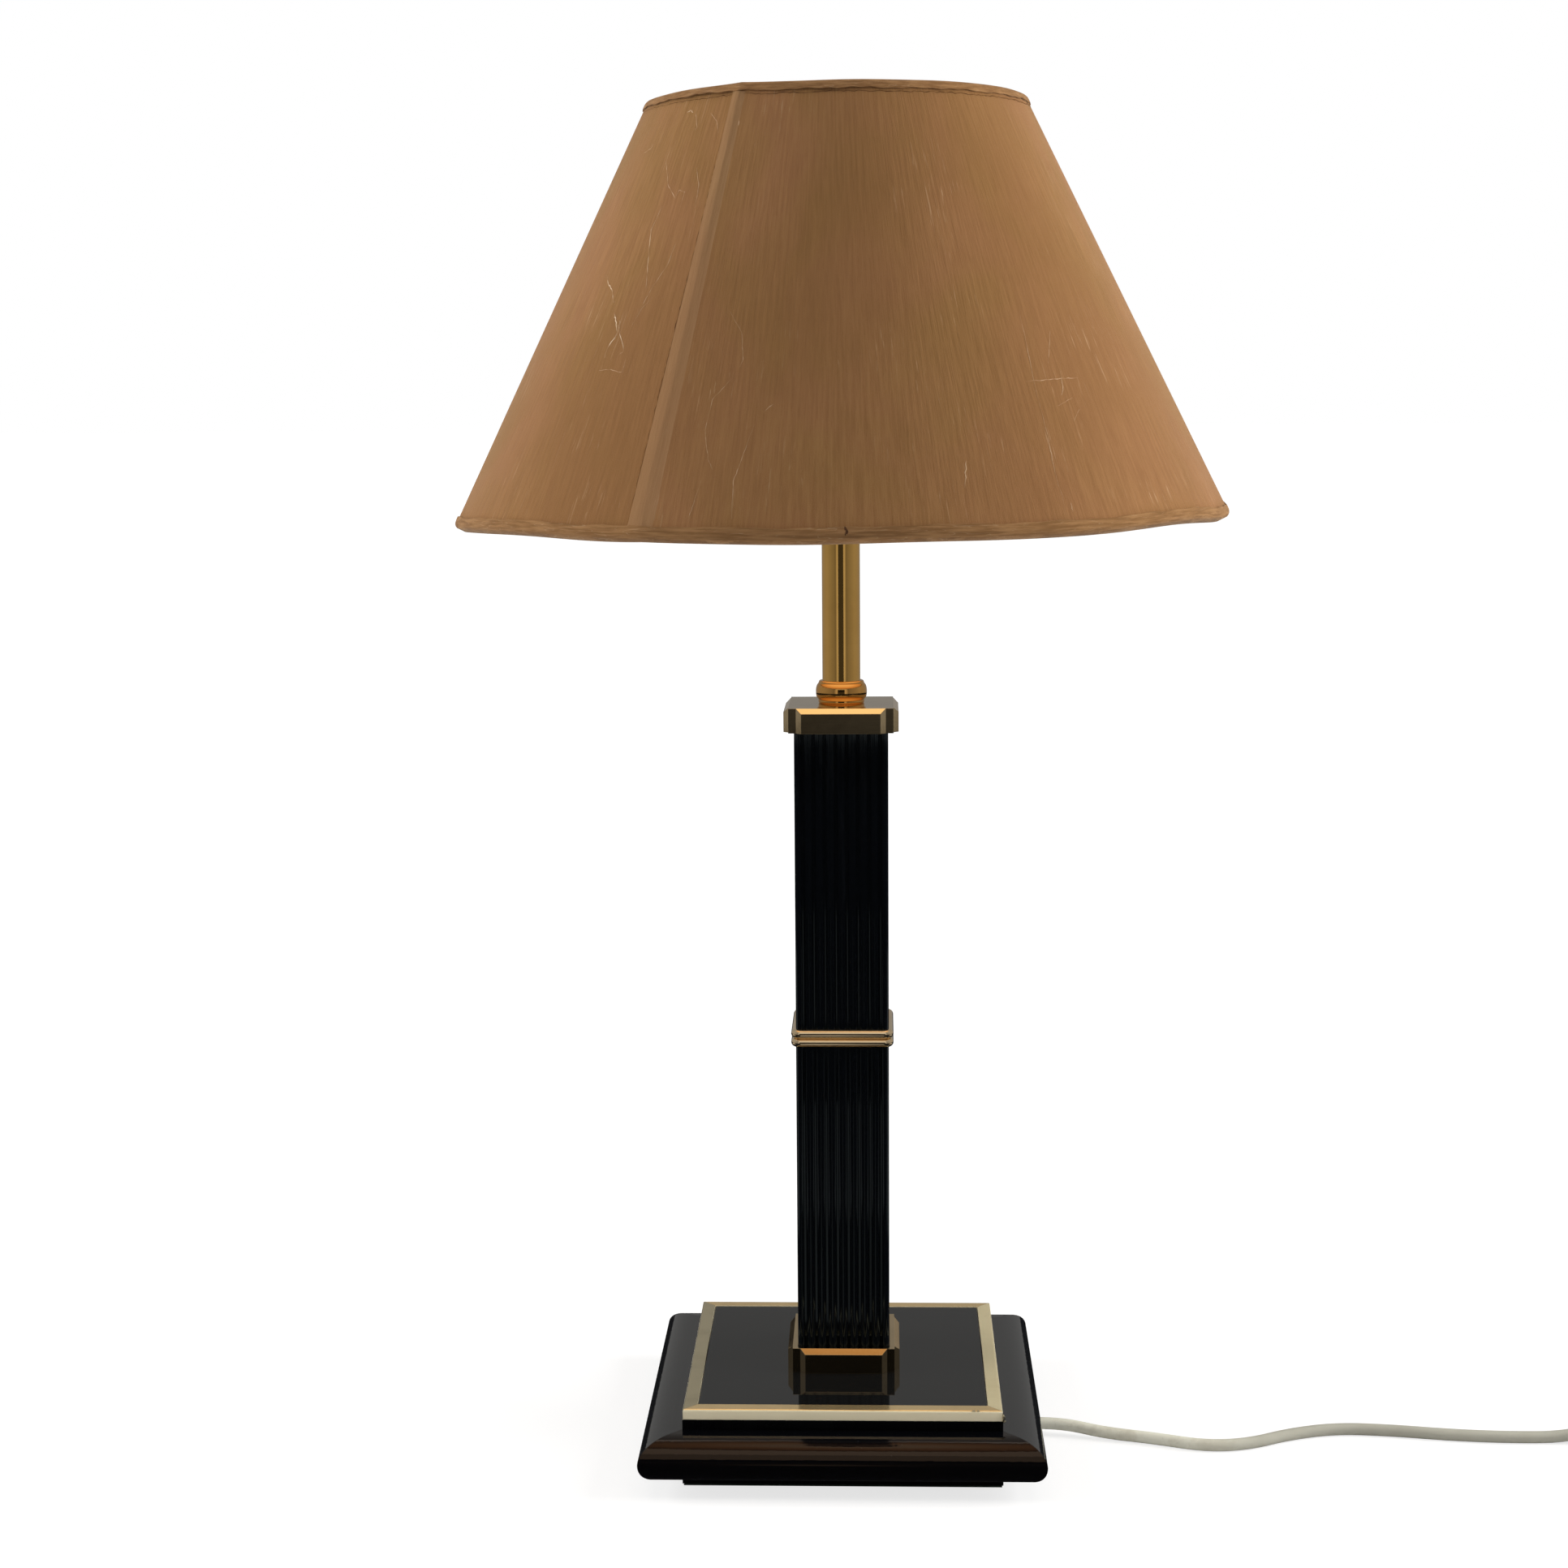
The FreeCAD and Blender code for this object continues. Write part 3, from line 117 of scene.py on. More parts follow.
class Shader:
    """Node tree of one material, with short calls for the nodes that the finishes use."""

    def __init__(self, name: str) -> None:
        """Makes an empty material with one principled shader.

        Args:
            name: the material's name.
        """
        self.material = bpy.data.materials.new(name)
        self.tree = bare_tree(self.material)
        self.surface = self.tree.nodes.new("ShaderNodeBsdfPrincipled")
        output = self.tree.nodes.new("ShaderNodeOutputMaterial")
        self.tree.links.new(self.surface.outputs[0], output.inputs["Surface"])

    def set(self, **values: object) -> None:
        """Sets or links inputs of the principled shader.

        Args:
            values: socket names with underscores for spaces, and a number, colour or socket.
        """
        for name, value in values.items():
            self.feed(self.surface.inputs[name.replace("_", " ")], value)

    def feed(self, socket: bpy.types.NodeSocket, value: object) -> None:
        """Links a socket, or writes a constant into it.

        Args:
            socket: the input to fill.
            value: an output socket, a number or a colour.
        """
        if isinstance(value, bpy.types.NodeSocket):
            self.tree.links.new(value, socket)
        elif isinstance(value, tuple) and len(value) == 3 and socket.type == "RGBA":
            socket.default_value = (*value, 1.0)
        else:
            socket.default_value = value

    def place(self, scale: Sequence[float] = (1.0, 1.0, 1.0)) -> bpy.types.NodeSocket:
        """Position in the row frame, in metres, stretched along each axis.

        Args:
            scale: factor along X, Y and Z.

        Returns:
            The vector socket.
        """
        where = self.tree.nodes.new("ShaderNodeTexCoord").outputs["Object"]
        return self.stretched(where, scale)

    def wrap(self, scale: Sequence[float] = (1.0, 1.0, 1.0)) -> bpy.types.NodeSocket:
        """Position on an unrolled sheet, in metres: round it, and up its slope.

        Args:
            scale: factor round, up and across the sheet.

        Returns:
            The vector socket.
        """
        where = self.tree.nodes.new("ShaderNodeUVMap")
        where.uv_map = "unrolled"
        return self.stretched(where.outputs["UV"], scale)

    def stretched(self, vector: bpy.types.NodeSocket, scale: Sequence[float]) -> bpy.types.NodeSocket:
        """Scales a vector.

        Args:
            vector: the socket to scale.
            scale: factor along each axis.

        Returns:
            The scaled vector socket.
        """
        node = self.tree.nodes.new("ShaderNodeVectorMath")
        node.operation = "MULTIPLY"
        self.feed(node.inputs[0], vector)
        node.inputs[1].default_value = tuple(scale)
        return node.outputs[0]

    def noise(
        self,
        vector: bpy.types.NodeSocket,
        scale: float,
        detail: float = 4.0,
        roughness: float = 0.5,
        distortion: float = 0.0,
    ) -> bpy.types.NodeSocket:
        """Cloud pattern.

        Args:
            vector: where it is read.
            scale: clouds per metre.
            detail: how many finer layers it has.
            roughness: how strong the finer layers are.
            distortion: how much it swirls.

        Returns:
            The pattern's value socket, about 0.5 on average.
        """
        node = self.tree.nodes.new("ShaderNodeTexNoise")
        self.feed(node.inputs["Vector"], vector)
        node.inputs["Scale"].default_value = scale
        node.inputs["Detail"].default_value = detail
        node.inputs["Roughness"].default_value = roughness
        node.inputs["Distortion"].default_value = distortion
        return node.outputs[0]

    def speckle(self, vector: bpy.types.NodeSocket, scale: float) -> bpy.types.NodeSocket:
        """Distance to scattered points.

        Args:
            vector: where it is read.
            scale: points per metre.

        Returns:
            The distance socket.
        """
        node = self.tree.nodes.new("ShaderNodeTexVoronoi")
        self.feed(node.inputs["Vector"], vector)
        node.inputs["Scale"].default_value = scale
        return node.outputs["Distance"]

    def band(
        self, value: bpy.types.NodeSocket, low: float, high: float, out: Sequence[float] = (0.0, 1.0)
    ) -> bpy.types.NodeSocket:
        """Maps a range of a value smoothly onto another range.

        Args:
            value: the socket to map.
            low: where the result starts to change.
            high: where it stops changing.
            out: the result at low and at high.

        Returns:
            The mapped socket.
        """
        node = self.tree.nodes.new("ShaderNodeMapRange")
        node.interpolation_type = "SMOOTHSTEP"
        self.feed(node.inputs["Value"], value)
        node.inputs["From Min"].default_value = low
        node.inputs["From Max"].default_value = high
        node.inputs["To Min"].default_value = out[0]
        node.inputs["To Max"].default_value = out[1]
        return node.outputs[0]

    def sum(self, operation: str, first: object, second: object = 0.0) -> bpy.types.NodeSocket:
        """Arithmetic on one or two values.

        Args:
            operation: ADD, SUBTRACT, MULTIPLY, MAXIMUM or GREATER_THAN, or ABSOLUTE or COSINE of
                the first value alone.
            first: number or socket.
            second: number or socket.

        Returns:
            The result's socket.
        """
        node = self.tree.nodes.new("ShaderNodeMath")
        node.operation = operation
        self.feed(node.inputs[0], first)
        self.feed(node.inputs[1], second)
        return node.outputs[0]

    def blend(self, factor: object, first: object, second: object) -> bpy.types.NodeSocket:
        """Mixes two colours.

        Args:
            factor: 0 for the first colour, 1 for the second.
            first: colour or socket.
            second: colour or socket.

        Returns:
            The mixed colour's socket.
        """
        node = self.tree.nodes.new("ShaderNodeMix")
        node.data_type = "RGBA"
        self.feed(node.inputs[MIX_FACTOR], factor)
        self.feed(node.inputs[MIX_FIRST], first)
        self.feed(node.inputs[MIX_SECOND], second)
        return node.outputs[MIX_RESULT]

    def facing(self, axis: str) -> bpy.types.NodeSocket:
        """One component of the surface's direction in the row frame.

        Args:
            axis: X, Y or Z.

        Returns:
            The component's socket, from -1 to 1.
        """
        shape = self.tree.nodes.new("ShaderNodeNewGeometry")
        return self.axis(shape.outputs["True Normal"], axis)

    def axis(self, vector: bpy.types.NodeSocket, name: str) -> bpy.types.NodeSocket:
        """One component of a vector.

        Args:
            vector: the socket to split.
            name: X, Y or Z.

        Returns:
            The component's socket.
        """
        return component(self.tree, vector, name)

    def bump(
        self,
        height: bpy.types.NodeSocket,
        distance: float,
        strength: float = 1.0,
        under: Optional[bpy.types.NodeSocket] = None,
    ) -> bpy.types.NodeSocket:
        """Surface relief.

        Args:
            height: pattern from 0 to 1.
            distance: its depth in metres.
            strength: how much of it shows.
            under: relief that it is laid over.

        Returns:
            The normal's socket.
        """
        node = self.tree.nodes.new("ShaderNodeBump")
        self.feed(node.inputs["Height"], height)
        node.inputs["Distance"].default_value = distance
        node.inputs["Strength"].default_value = strength
        if under is not None:
            self.feed(node.inputs["Normal"], under)
        return node.outputs[0]

    def soft_edges(self, radius: float) -> bpy.types.NodeSocket:
        """Normal that rounds sharp edges.

        Args:
            radius: the rounding's radius in metres.

        Returns:
            The normal's socket.
        """
        node = self.tree.nodes.new("ShaderNodeBevel")
        node.samples = BEVEL_SAMPLES
        node.inputs["Radius"].default_value = radius
        return node.outputs[0]


# ---- finishes ----


@dataclass(frozen=True)
class Finish:
    """A surface finish that can be built once and put on pieces."""

    name: str

    def build(self) -> bpy.types.Material:
        """Builds the material under a name of its own, or returns the one already built."""
        title = f"{self.name}_finish"
        known = bpy.data.materials.get(title)
        if known is not None:
            return known
        shader = Shader(title)
        self.dress(shader)
        return shader.material

    def dress(self, shader: Shader) -> None:
        """Fills the shader. Each finish has its own."""
        raise NotImplementedError

    def put_on(self, *pieces: bpy.types.Object) -> None:
        """Gives this finish to pieces in place of what they have.

        Args:
            pieces: meshes or curves.
        """
        material = self.build()
        for piece in pieces:
            piece.data.materials.clear()
            piece.data.materials.append(material)


@dataclass(frozen=True)
class PaintedCard(Finish):
    """Tan suede-like paint brushed up and down on card."""

    deep: Colour = (0.192, 0.089, 0.027)
    light: Colour = (0.330, 0.172, 0.066)
    pink: Colour = (0.335, 0.152, 0.072)
    olive: Colour = (0.268, 0.142, 0.045)
    rubbed: Colour = (0.460, 0.290, 0.160)

    def dress(self, shader: Shader) -> None:
        """Brush streaks, colour clouds, rubbed streaks and a fine nap."""
        streaks = shader.noise(shader.wrap((1.0, 0.045, 1.0)), 820.0, 6.0, 0.66)
        hairs = shader.noise(shader.wrap((1.0, 0.05, 1.0)), 2600.0, 3.0, 0.6)
        clouds = shader.noise(shader.wrap((1.0, 0.7, 1.0)), 19.0, 3.0, 0.55, 0.6)
        drift = shader.noise(shader.wrap((1.0, 0.55, 1.0)), 9.0, 2.0, 0.5)
        nap = shader.noise(shader.wrap(), 3400.0, 2.0, 0.7)
        body = shader.blend(shader.band(streaks, 0.30, 0.72), self.deep, self.light)
        tint = shader.blend(shader.band(clouds, 0.30, 0.70), self.olive, self.pink)
        body = shader.blend(0.45, body, tint)
        body = shader.blend(shader.band(drift, 0.35, 0.72, (0.0, 0.5)), body, self.deep)
        wear_and_painted_shade = shader.noise(shader.wrap((1.0, 0.045, 1.0)), 900.0, 4.0, 0.7, 0.3)
        patches = shader.noise(shader.wrap((1.0, 0.8, 1.0)), 30.0, 3.0, 0.6)
        rubs = shader.sum("MULTIPLY", shader.band(wear_and_painted_shade, 0.58, 0.67), shader.band(patches, 0.49, 0.65))
        body = shader.blend(shader.sum("MULTIPLY", rubs, 0.58), body, self.rubbed)
        body = shader.blend(shader.band(hairs, 0.56, 0.74, (0.0, 0.5)), body, self.deep)
        body = shader.blend(shader.band(nap, 0.40, 0.75, (0.0, 0.16)), body, self.rubbed)
        height = shader.sum("ADD", shader.sum("MULTIPLY", hairs, 0.5), streaks)
        relief = shader.bump(height, 0.00030, 0.6)
        relief = shader.bump(nap, 0.00006, 0.5, relief)
        shader.set(
            Base_Color=body,
            Roughness=shader.band(streaks, 0.3, 0.7, (0.72, 0.86)),
            Specular_IOR_Level=0.16,
            Sheen_Weight=0.24,
            Sheen_Roughness=0.35,
            Sheen_Tint=(1.0, 0.86, 0.72),
            Normal=relief,
        )


@dataclass(frozen=True)
class FoldedStrip(Finish):
    """The binding strip: the same paint, brushed along the rim, with crack lines."""

    deep: Colour = (0.188, 0.092, 0.034)
    light: Colour = (0.312, 0.167, 0.070)
    crack: Colour = (0.500, 0.340, 0.200)

    def dress(self, shader: Shader) -> None:
        """Streaks along the strip, blotches and pale cracks."""
        streaks = shader.noise(shader.wrap((0.10, 1.0, 1.0)), 900.0, 5.0, 0.6)
        blots = shader.noise(shader.wrap(), 70.0, 4.0, 0.6)
        cracks = shader.noise(shader.wrap((0.12, 1.0, 1.0)), 420.0, 2.0, 0.5, 1.2)
        nap = shader.noise(shader.wrap(), 3400.0, 2.0, 0.7)
        body = shader.blend(shader.band(streaks, 0.35, 0.68), self.deep, self.light)
        body = shader.blend(shader.band(blots, 0.42, 0.72, (0.0, 0.30)), body, self.light)
        line = shader.sum("ABSOLUTE", shader.sum("SUBTRACT", cracks, 0.5))
        body = shader.blend(shader.band(line, 0.003, 0.010, (0.26, 0.0)), body, self.crack)
        relief = shader.bump(streaks, 0.0002, 0.3)
        relief = shader.bump(nap, 0.00006, 0.5, relief)
        shader.set(
            Base_Color=body,
            Roughness=shader.band(blots, 0.3, 0.7, (0.70, 0.84)),
            Specular_IOR_Level=0.16,
            Sheen_Weight=0.15,
            Sheen_Roughness=0.35,
            Sheen_Tint=(1.0, 0.84, 0.66),
            Normal=relief,
        )


@dataclass(frozen=True)
class ScratchedPaint(Finish):
    """Thin lines of paint: scratches that show what lies under them, and painted shadow and highlight
    lines.
    """

    colour: Colour = (0.60, 0.41, 0.25)
    faint: Colour = (0.36, 0.205, 0.098)

    def dress(self, shader: Shader) -> None:
        """Broken pale line that fades in and out along its length."""
        breaks = shader.noise(shader.place(), 260.0, 3.0, 0.6)
        body = shader.blend(shader.band(breaks, 0.40, 0.62), self.faint, self.colour)
        relief = shader.bump(shader.noise(shader.place(), 3000.0, 2.0), 0.00005, 0.6)
        shader.set(Base_Color=body, Roughness=0.82, Specular_IOR_Level=0.2, Normal=relief)


@dataclass(frozen=True)
class Lining(Finish):
    """Off-white paper, yellowed by the bulb's heat towards the top."""

    fresh: Colour = (0.74, 0.52, 0.30)
    aged: Colour = (0.60, 0.36, 0.16)
    fibre: Colour = (0.45, 0.38, 0.28)

    def dress(self, shader: Shader) -> None:
        """Paper fibres and a warm cloud that grows with height."""
        fibres = shader.noise(shader.wrap((1.0, 0.3, 1.0)), 1500.0, 4.0, 0.6)
        clouds = shader.noise(shader.wrap(), 16.0, 3.0, 0.5)
        high = shader.band(shader.axis(shader.wrap(), "Y"), 0.02, 0.20)
        age = shader.sum("MULTIPLY", high, shader.band(clouds, 0.25, 0.75, (0.35, 1.0)))
        body = shader.blend(age, self.fresh, self.aged)
        body = shader.blend(shader.band(fibres, 0.35, 0.70, (0.0, 0.10)), body, self.fibre)
        shader.set(
            Base_Color=body,
            Roughness=0.88,
            Specular_IOR_Level=0.2,
            Normal=shader.bump(fibres, 0.00008, 0.5),
        )


@dataclass(frozen=True)
class Lacquer(Finish):
    """Black high-gloss lacquer or enamel with a trace of dust."""

    colour: Colour = (0.0045, 0.0048, 0.0060)
    gloss: float = 0.07
    level: float = 0.5
    edge: float = 0.0003
    dust: Colour = (0.060, 0.062, 0.066)
    ripple: float = 0.00006
    # Colour of the reflections; where it is not white it is a painted reflection colour.
    tint: Colour = (1.0, 1.0, 1.0)

    def dress(self, shader: Shader) -> None:
        """Faint wipe marks in the gloss, dust specks and softened edges."""
        wipes = shader.noise(shader.place((1.0, 1.0, 0.35)), 60.0, 4.0, 0.6, 0.8)
        specks = shader.speckle(shader.place(), 420.0)
        haze = shader.noise(shader.place(), 35.0, 3.0, 0.6)
        near_speck = shader.band(specks, 0.05, 0.09, (1.0, 0.0))
        dusty = shader.sum("MULTIPLY", near_speck, shader.band(haze, 0.50, 0.70))
        lift = shader.sum("MULTIPLY", shader.band(shader.facing("Z"), 0.1, 0.9), 0.7)
        body = shader.blend(shader.sum("MULTIPLY", dusty, lift), self.colour, self.dust)
        ripple = shader.noise(shader.place(), 14.0, 2.0, 0.4)
        shader.set(
            Base_Color=body,
            Roughness=shader.band(wipes, 0.3, 0.75, (self.gloss * 0.7, self.gloss * 1.5)),
            Specular_IOR_Level=self.level,
            Specular_Tint=self.tint,
            Normal=shader.bump(ripple, self.ripple, 0.25, shader.soft_edges(self.edge)),
        )


@dataclass(frozen=True)
class ReededEnamel(Lacquer):
    """Black enamel over reeds whose faces are slightly rounded."""

    pitch: float = 0.00472
    rise: float = 0.00006
    run_tone: Colour = (0.006, 0.007, 0.009)
    # Painted reflection: the enamel's reflections are tinted blue.
    tint: Colour = (0.80, 0.96, 1.0)

    def dress(self, shader: Shader) -> None:
        """Faint runs in the gloss and a gentle rounding across each reed."""
        runs = shader.noise(shader.place((1.0, 1.0, 0.10)), 420.0, 3.0, 0.6)
        where = shader.place()
        sideways = shader.sum("GREATER_THAN", shader.sum("ABSOLUTE", shader.facing("X")), 0.5)
        along_x = shader.sum("MULTIPLY", shader.axis(where, "X"), shader.sum("SUBTRACT", 1.0, sideways))
        across = shader.sum("ADD", along_x, shader.sum("MULTIPLY", shader.axis(where, "Y"), sideways))
        turn = shader.sum("MULTIPLY", across, 2 * math.pi / self.pitch)
        crown = shader.sum("MULTIPLY", shader.sum("COSINE", turn), 0.5)
        body = shader.blend(shader.band(runs, 0.55, 0.75, (0.0, 0.3)), self.colour, self.run_tone)
        shader.set(
            Base_Color=body,
            Roughness=shader.band(runs, 0.3, 0.75, (self.gloss * 0.7, self.gloss * 1.6)),
            Specular_IOR_Level=self.level,
            Specular_Tint=self.tint,
            Normal=shader.bump(crown, 2 * self.rise, 1.0, shader.soft_edges(self.edge)),
        )


@dataclass(frozen=True)
class BlackGlass(Finish):
    """Polished black glass."""

    colour: Colour = (0.006, 0.0062, 0.0062)
    dust: Colour = (0.05, 0.05, 0.05)

    def dress(self, shader: Shader) -> None:
        """Mirror-flat surface with a few dust specks and one faint smear."""
        specks = shader.speckle(shader.place(), 260.0)
        smear = shader.noise(shader.place((1.0, 0.5, 1.0)), 24.0, 3.0, 0.6, 0.7)
        body = shader.blend(shader.band(specks, 0.03, 0.05, (0.35, 0.0)), self.colour, self.dust)
        shader.set(
            Base_Color=body,
            Roughness=shader.band(smear, 0.4, 0.8, (0.02, 0.05)),
            IOR=1.42,
            Normal=shader.soft_edges(0.0003),
        )


@dataclass(frozen=True)
class Brass(Finish):
    """Brass with the grain of its polishing, dulled patches, and brighter upward bevel edges, which are
    a painted highlight.
    """

    colour: Colour = (0.70, 0.52, 0.26)
    dull: Colour = (0.42, 0.30, 0.13)
    gloss: float = 0.20
    grain: Grain = Grain.EVEN
    grain_depth: float = 0.00002
    dullness: float = 0.5
    edge: float = 0.0002
    upward_highlight: Optional[Colour] = None

    def dress(self, shader: Shader) -> None:
        """Grain, tarnish clouds, pin spots, and a painted highlight on upward bevels where asked."""
        lines = shader.noise(shader.place(self.grain.value), 2600.0, 4.0, 0.6)
        tarnish = shader.noise(shader.place(), 55.0, 4.0, 0.6, 0.4)
        spots = shader.speckle(shader.place(), 520.0)
        wear_and_painted_shade = shader.sum("MULTIPLY", shader.band(tarnish, 0.38, 0.72), self.dullness)
        body = shader.blend(wear_and_painted_shade, self.colour, self.dull)
        body = shader.blend(shader.band(spots, 0.035, 0.06, (0.5, 0.0)), body, self.dull)
        # Painted highlight: bevels that face upwards are painted in a paler colour.
        if self.upward_highlight is not None:
            upward = shader.facing("Z")
            level_part = shader.band(upward, 0.90, 0.99, (1.0, 0.15))
            bevel = shader.sum("MULTIPLY", shader.band(upward, 0.30, 0.55), level_part)
            body = shader.blend(bevel, body, self.upward_highlight)
        rough = shader.band(lines, 0.3, 0.7, (self.gloss * 0.8, self.gloss * 1.35))
        shader.set(
            Base_Color=body,
            Metallic=1.0,
            Roughness=shader.sum("ADD", rough, shader.sum("MULTIPLY", wear_and_painted_shade, 0.06)),
            Normal=shader.bump(lines, self.grain_depth, 0.5, shader.soft_edges(self.edge)),
        )


@dataclass(frozen=True)
class FrameBrass(Brass):
    """Pale brass strip: polished on top, satin where its edges were worked with a file, and painted
    paler there as a painted highlight.
    """

    satin: float = 0.42
    filed_highlight: Colour = (1.0, 0.90, 0.64)
    mirror: float = 1.0

    def dress(self, shader: Shader) -> None:
        """Filing lines and a paler tone painted on the upright faces as a painted highlight, a mirror
        with faint wear on top.
        """
        lines = shader.noise(shader.place(self.grain.value), 2600.0, 4.0, 0.6)
        tarnish = shader.noise(shader.place(), 40.0, 4.0, 0.6, 0.4)
        spots = shader.speckle(shader.place(), 300.0)
        flat = shader.band(shader.facing("Z"), 0.3, 0.8)
        wear_and_painted_shade = shader.sum("MULTIPLY", shader.band(tarnish, 0.40, 0.72), self.dullness)
        body = shader.blend(wear_and_painted_shade, self.colour, self.dull)
        body = shader.blend(shader.band(spots, 0.03, 0.05, (0.5, 0.0)), body, self.dull)
        # Painted highlight: the upright faces take the paler colour.
        body = shader.blend(flat, self.filed_highlight, body)
        polished = shader.band(lines, 0.3, 0.7, (self.gloss, self.gloss * 2))
        rough = shader.sum("SUBTRACT", self.satin, shader.sum("MULTIPLY", flat, self.satin - self.gloss))
        shader.set(
            Base_Color=body,
            Metallic=shader.band(flat, 0.2, 0.8, (0.05, self.mirror)),
            Roughness=shader.sum("MAXIMUM", rough, polished),
            Normal=shader.bump(lines, 0.000006, 0.4, shader.soft_edges(0.0005)),
        )


@dataclass(frozen=True)
class Steel(Finish):
    """Zinc-plated steel with a faint crystalline bloom."""

    colour: Colour = (0.52, 0.52, 0.50)
    gloss: float = 0.34
    bloom: Colour = (0.40, 0.39, 0.36)

    def dress(self, shader: Shader) -> None:
        """Blotches of plating and drawing lines."""
        bloom = shader.noise(shader.place(), 180.0, 4.0, 0.6)
        lines = shader.noise(shader.place((1.0, 1.0, 0.1)), 2200.0, 3.0)
        body = shader.blend(shader.band(bloom, 0.35, 0.7), self.colour, self.bloom)
        shader.set(
            Base_Color=body,
            Metallic=1.0,
            Roughness=shader.band(bloom, 0.3, 0.7, (self.gloss, self.gloss + 0.14)),
            Normal=shader.bump(lines, 0.00003, 0.4),
        )


@dataclass(frozen=True)
class Plastic(Finish):
    """Moulded plastic or rubber with a fine texture."""

    colour: Colour = (0.02, 0.02, 0.02)
    gloss: float = 0.35
    grain: float = 1800.0
    depth: float = 0.00003
    level: float = 0.4
    soil: float = 0.25
    edge: float = 0.0003
    shadow: float = 0.62

    def dress(self, shader: Shader) -> None:
        """Even colour with slight soiling, a moulded grain and softened edges."""
        soil = shader.noise(shader.place(), 40.0, 4.0, 0.6)
        grain = shader.noise(shader.place(), self.grain, 2.0, 0.6)
        darker = tuple(part * self.shadow for part in self.colour)
        body = shader.blend(shader.band(soil, 0.40, 0.75, (0.0, self.soil)), self.colour, darker)
        shader.set(
            Base_Color=body,
            Roughness=shader.band(soil, 0.3, 0.7, (self.gloss, self.gloss + 0.12)),
            Specular_IOR_Level=self.level,
            Normal=shader.bump(grain, self.depth, 0.5, shader.soft_edges(self.edge)),
        )


@dataclass(frozen=True)
class Sheath(Finish):
    """Pale grey-beige cord sheath, painted greyer away from the lamp as painted shade."""

    colour: Colour = (0.84, 0.84, 0.72)
    soiled: Colour = (0.60, 0.57, 0.46)
    painted_shade: Colour = (0.38, 0.372, 0.315)
    painted_shade_from: float = 0.149
    painted_shade_to: float = 0.186

    def dress(self, shader: Shader) -> None:
        """Soiling, a stretch painted greyer as painted shade, and a slight twist of the cores under the
        skin.
        """
        soil = shader.noise(shader.place(), 55.0, 4.0, 0.65)
        blots = shader.noise(shader.place(), 260.0, 3.0, 0.6)
        fine = shader.noise(shader.place(), 900.0, 3.0, 0.6)
        twist = shader.noise(shader.place(), 120.0, 1.0, 0.4)
        body = shader.blend(shader.band(soil, 0.40, 0.66, (0.0, 0.7)), self.colour, self.soiled)
        body = shader.blend(shader.band(blots, 0.56, 0.70, (0.0, 0.3)), body, self.soiled)
        # Painted shade: from a set distance along X the cord is painted greyer, to even out the stronger
        # light that falls there.
        away = shader.axis(shader.place(), "X")
        wear_and_painted_shade = shader.band(away, self.painted_shade_from, self.painted_shade_to, (0.0, 0.85))
        body = shader.blend(wear_and_painted_shade, body, self.painted_shade)
        relief = shader.bump(twist, 0.0004, 0.25)
        shader.set(
            Base_Color=body,
            Roughness=shader.band(fine, 0.3, 0.7, (0.42, 0.58)),
            Specular_IOR_Level=0.4,
            Normal=shader.bump(fine, 0.00004, 0.4, relief),
        )


@dataclass(frozen=True)
class Fibre(Finish):
    """Felt, board or raw wood: a dull body with a grain."""

    colour: Colour = (0.02, 0.035, 0.025)
    other: Colour = (0.04, 0.06, 0.045)
    grain: Grain = Grain.EVEN
    scale: float = 900.0

    def dress(self, shader: Shader) -> None:
        """Two tones in a grained pattern with relief."""
        grain = shader.noise(shader.place(self.grain.value), self.scale, 5.0, 0.65, 0.3)
        cloud = shader.noise(shader.place(), 45.0, 3.0)
        body = shader.blend(shader.band(grain, 0.32, 0.70), self.colour, self.other)
        body = shader.blend(shader.band(cloud, 0.4, 0.8, (0.0, 0.3)), body, self.colour)
        shader.set(
            Base_Color=body,
            Roughness=0.9,
            Specular_IOR_Level=0.2,
            Normal=shader.bump(grain, 0.00015, 0.6),
        )


@dataclass(frozen=True)
class CastIron(Finish):
    """Rough grey casting."""

    colour: Colour = (0.10, 0.10, 0.10)
    rusty: Colour = (0.16, 0.07, 0.03)

    def dress(self, shader: Shader) -> None:
        """Sand-cast pits and a thin bloom of rust."""
        pits = shader.noise(shader.place(), 700.0, 5.0, 0.65)
        rust = shader.noise(shader.place(), 60.0, 4.0, 0.6)
        body = shader.blend(shader.band(rust, 0.5, 0.72, (0.0, 0.6)), self.colour, self.rusty)
        shader.set(
            Base_Color=body,
            Metallic=shader.band(rust, 0.5, 0.7, (0.7, 0.2)),
            Roughness=0.7,
            Normal=shader.bump(pits, 0.0003, 0.6),
        )


@dataclass(frozen=True)
class FrostedBulb(Finish):
    """Bulb glass, frosted white inside."""

    pale: Colour = (0.86, 0.86, 0.84)
    greyer: Colour = (0.78, 0.78, 0.76)

    def dress(self, shader: Shader) -> None:
        """Milky glass with a slight cloud and a clear skin."""
        cloud = shader.noise(shader.place(), 90.0, 3.0)
        body = shader.blend(shader.band(cloud, 0.3, 0.7), self.pale, self.greyer)
        shader.set(
            Base_Color=body,
            Roughness=shader.band(cloud, 0.3, 0.7, (0.10, 0.18)),
            Subsurface_Weight=0.25,
            Subsurface_Scale=0.004,
            Coat_Weight=0.5,
            Coat_Roughness=0.04,
        )


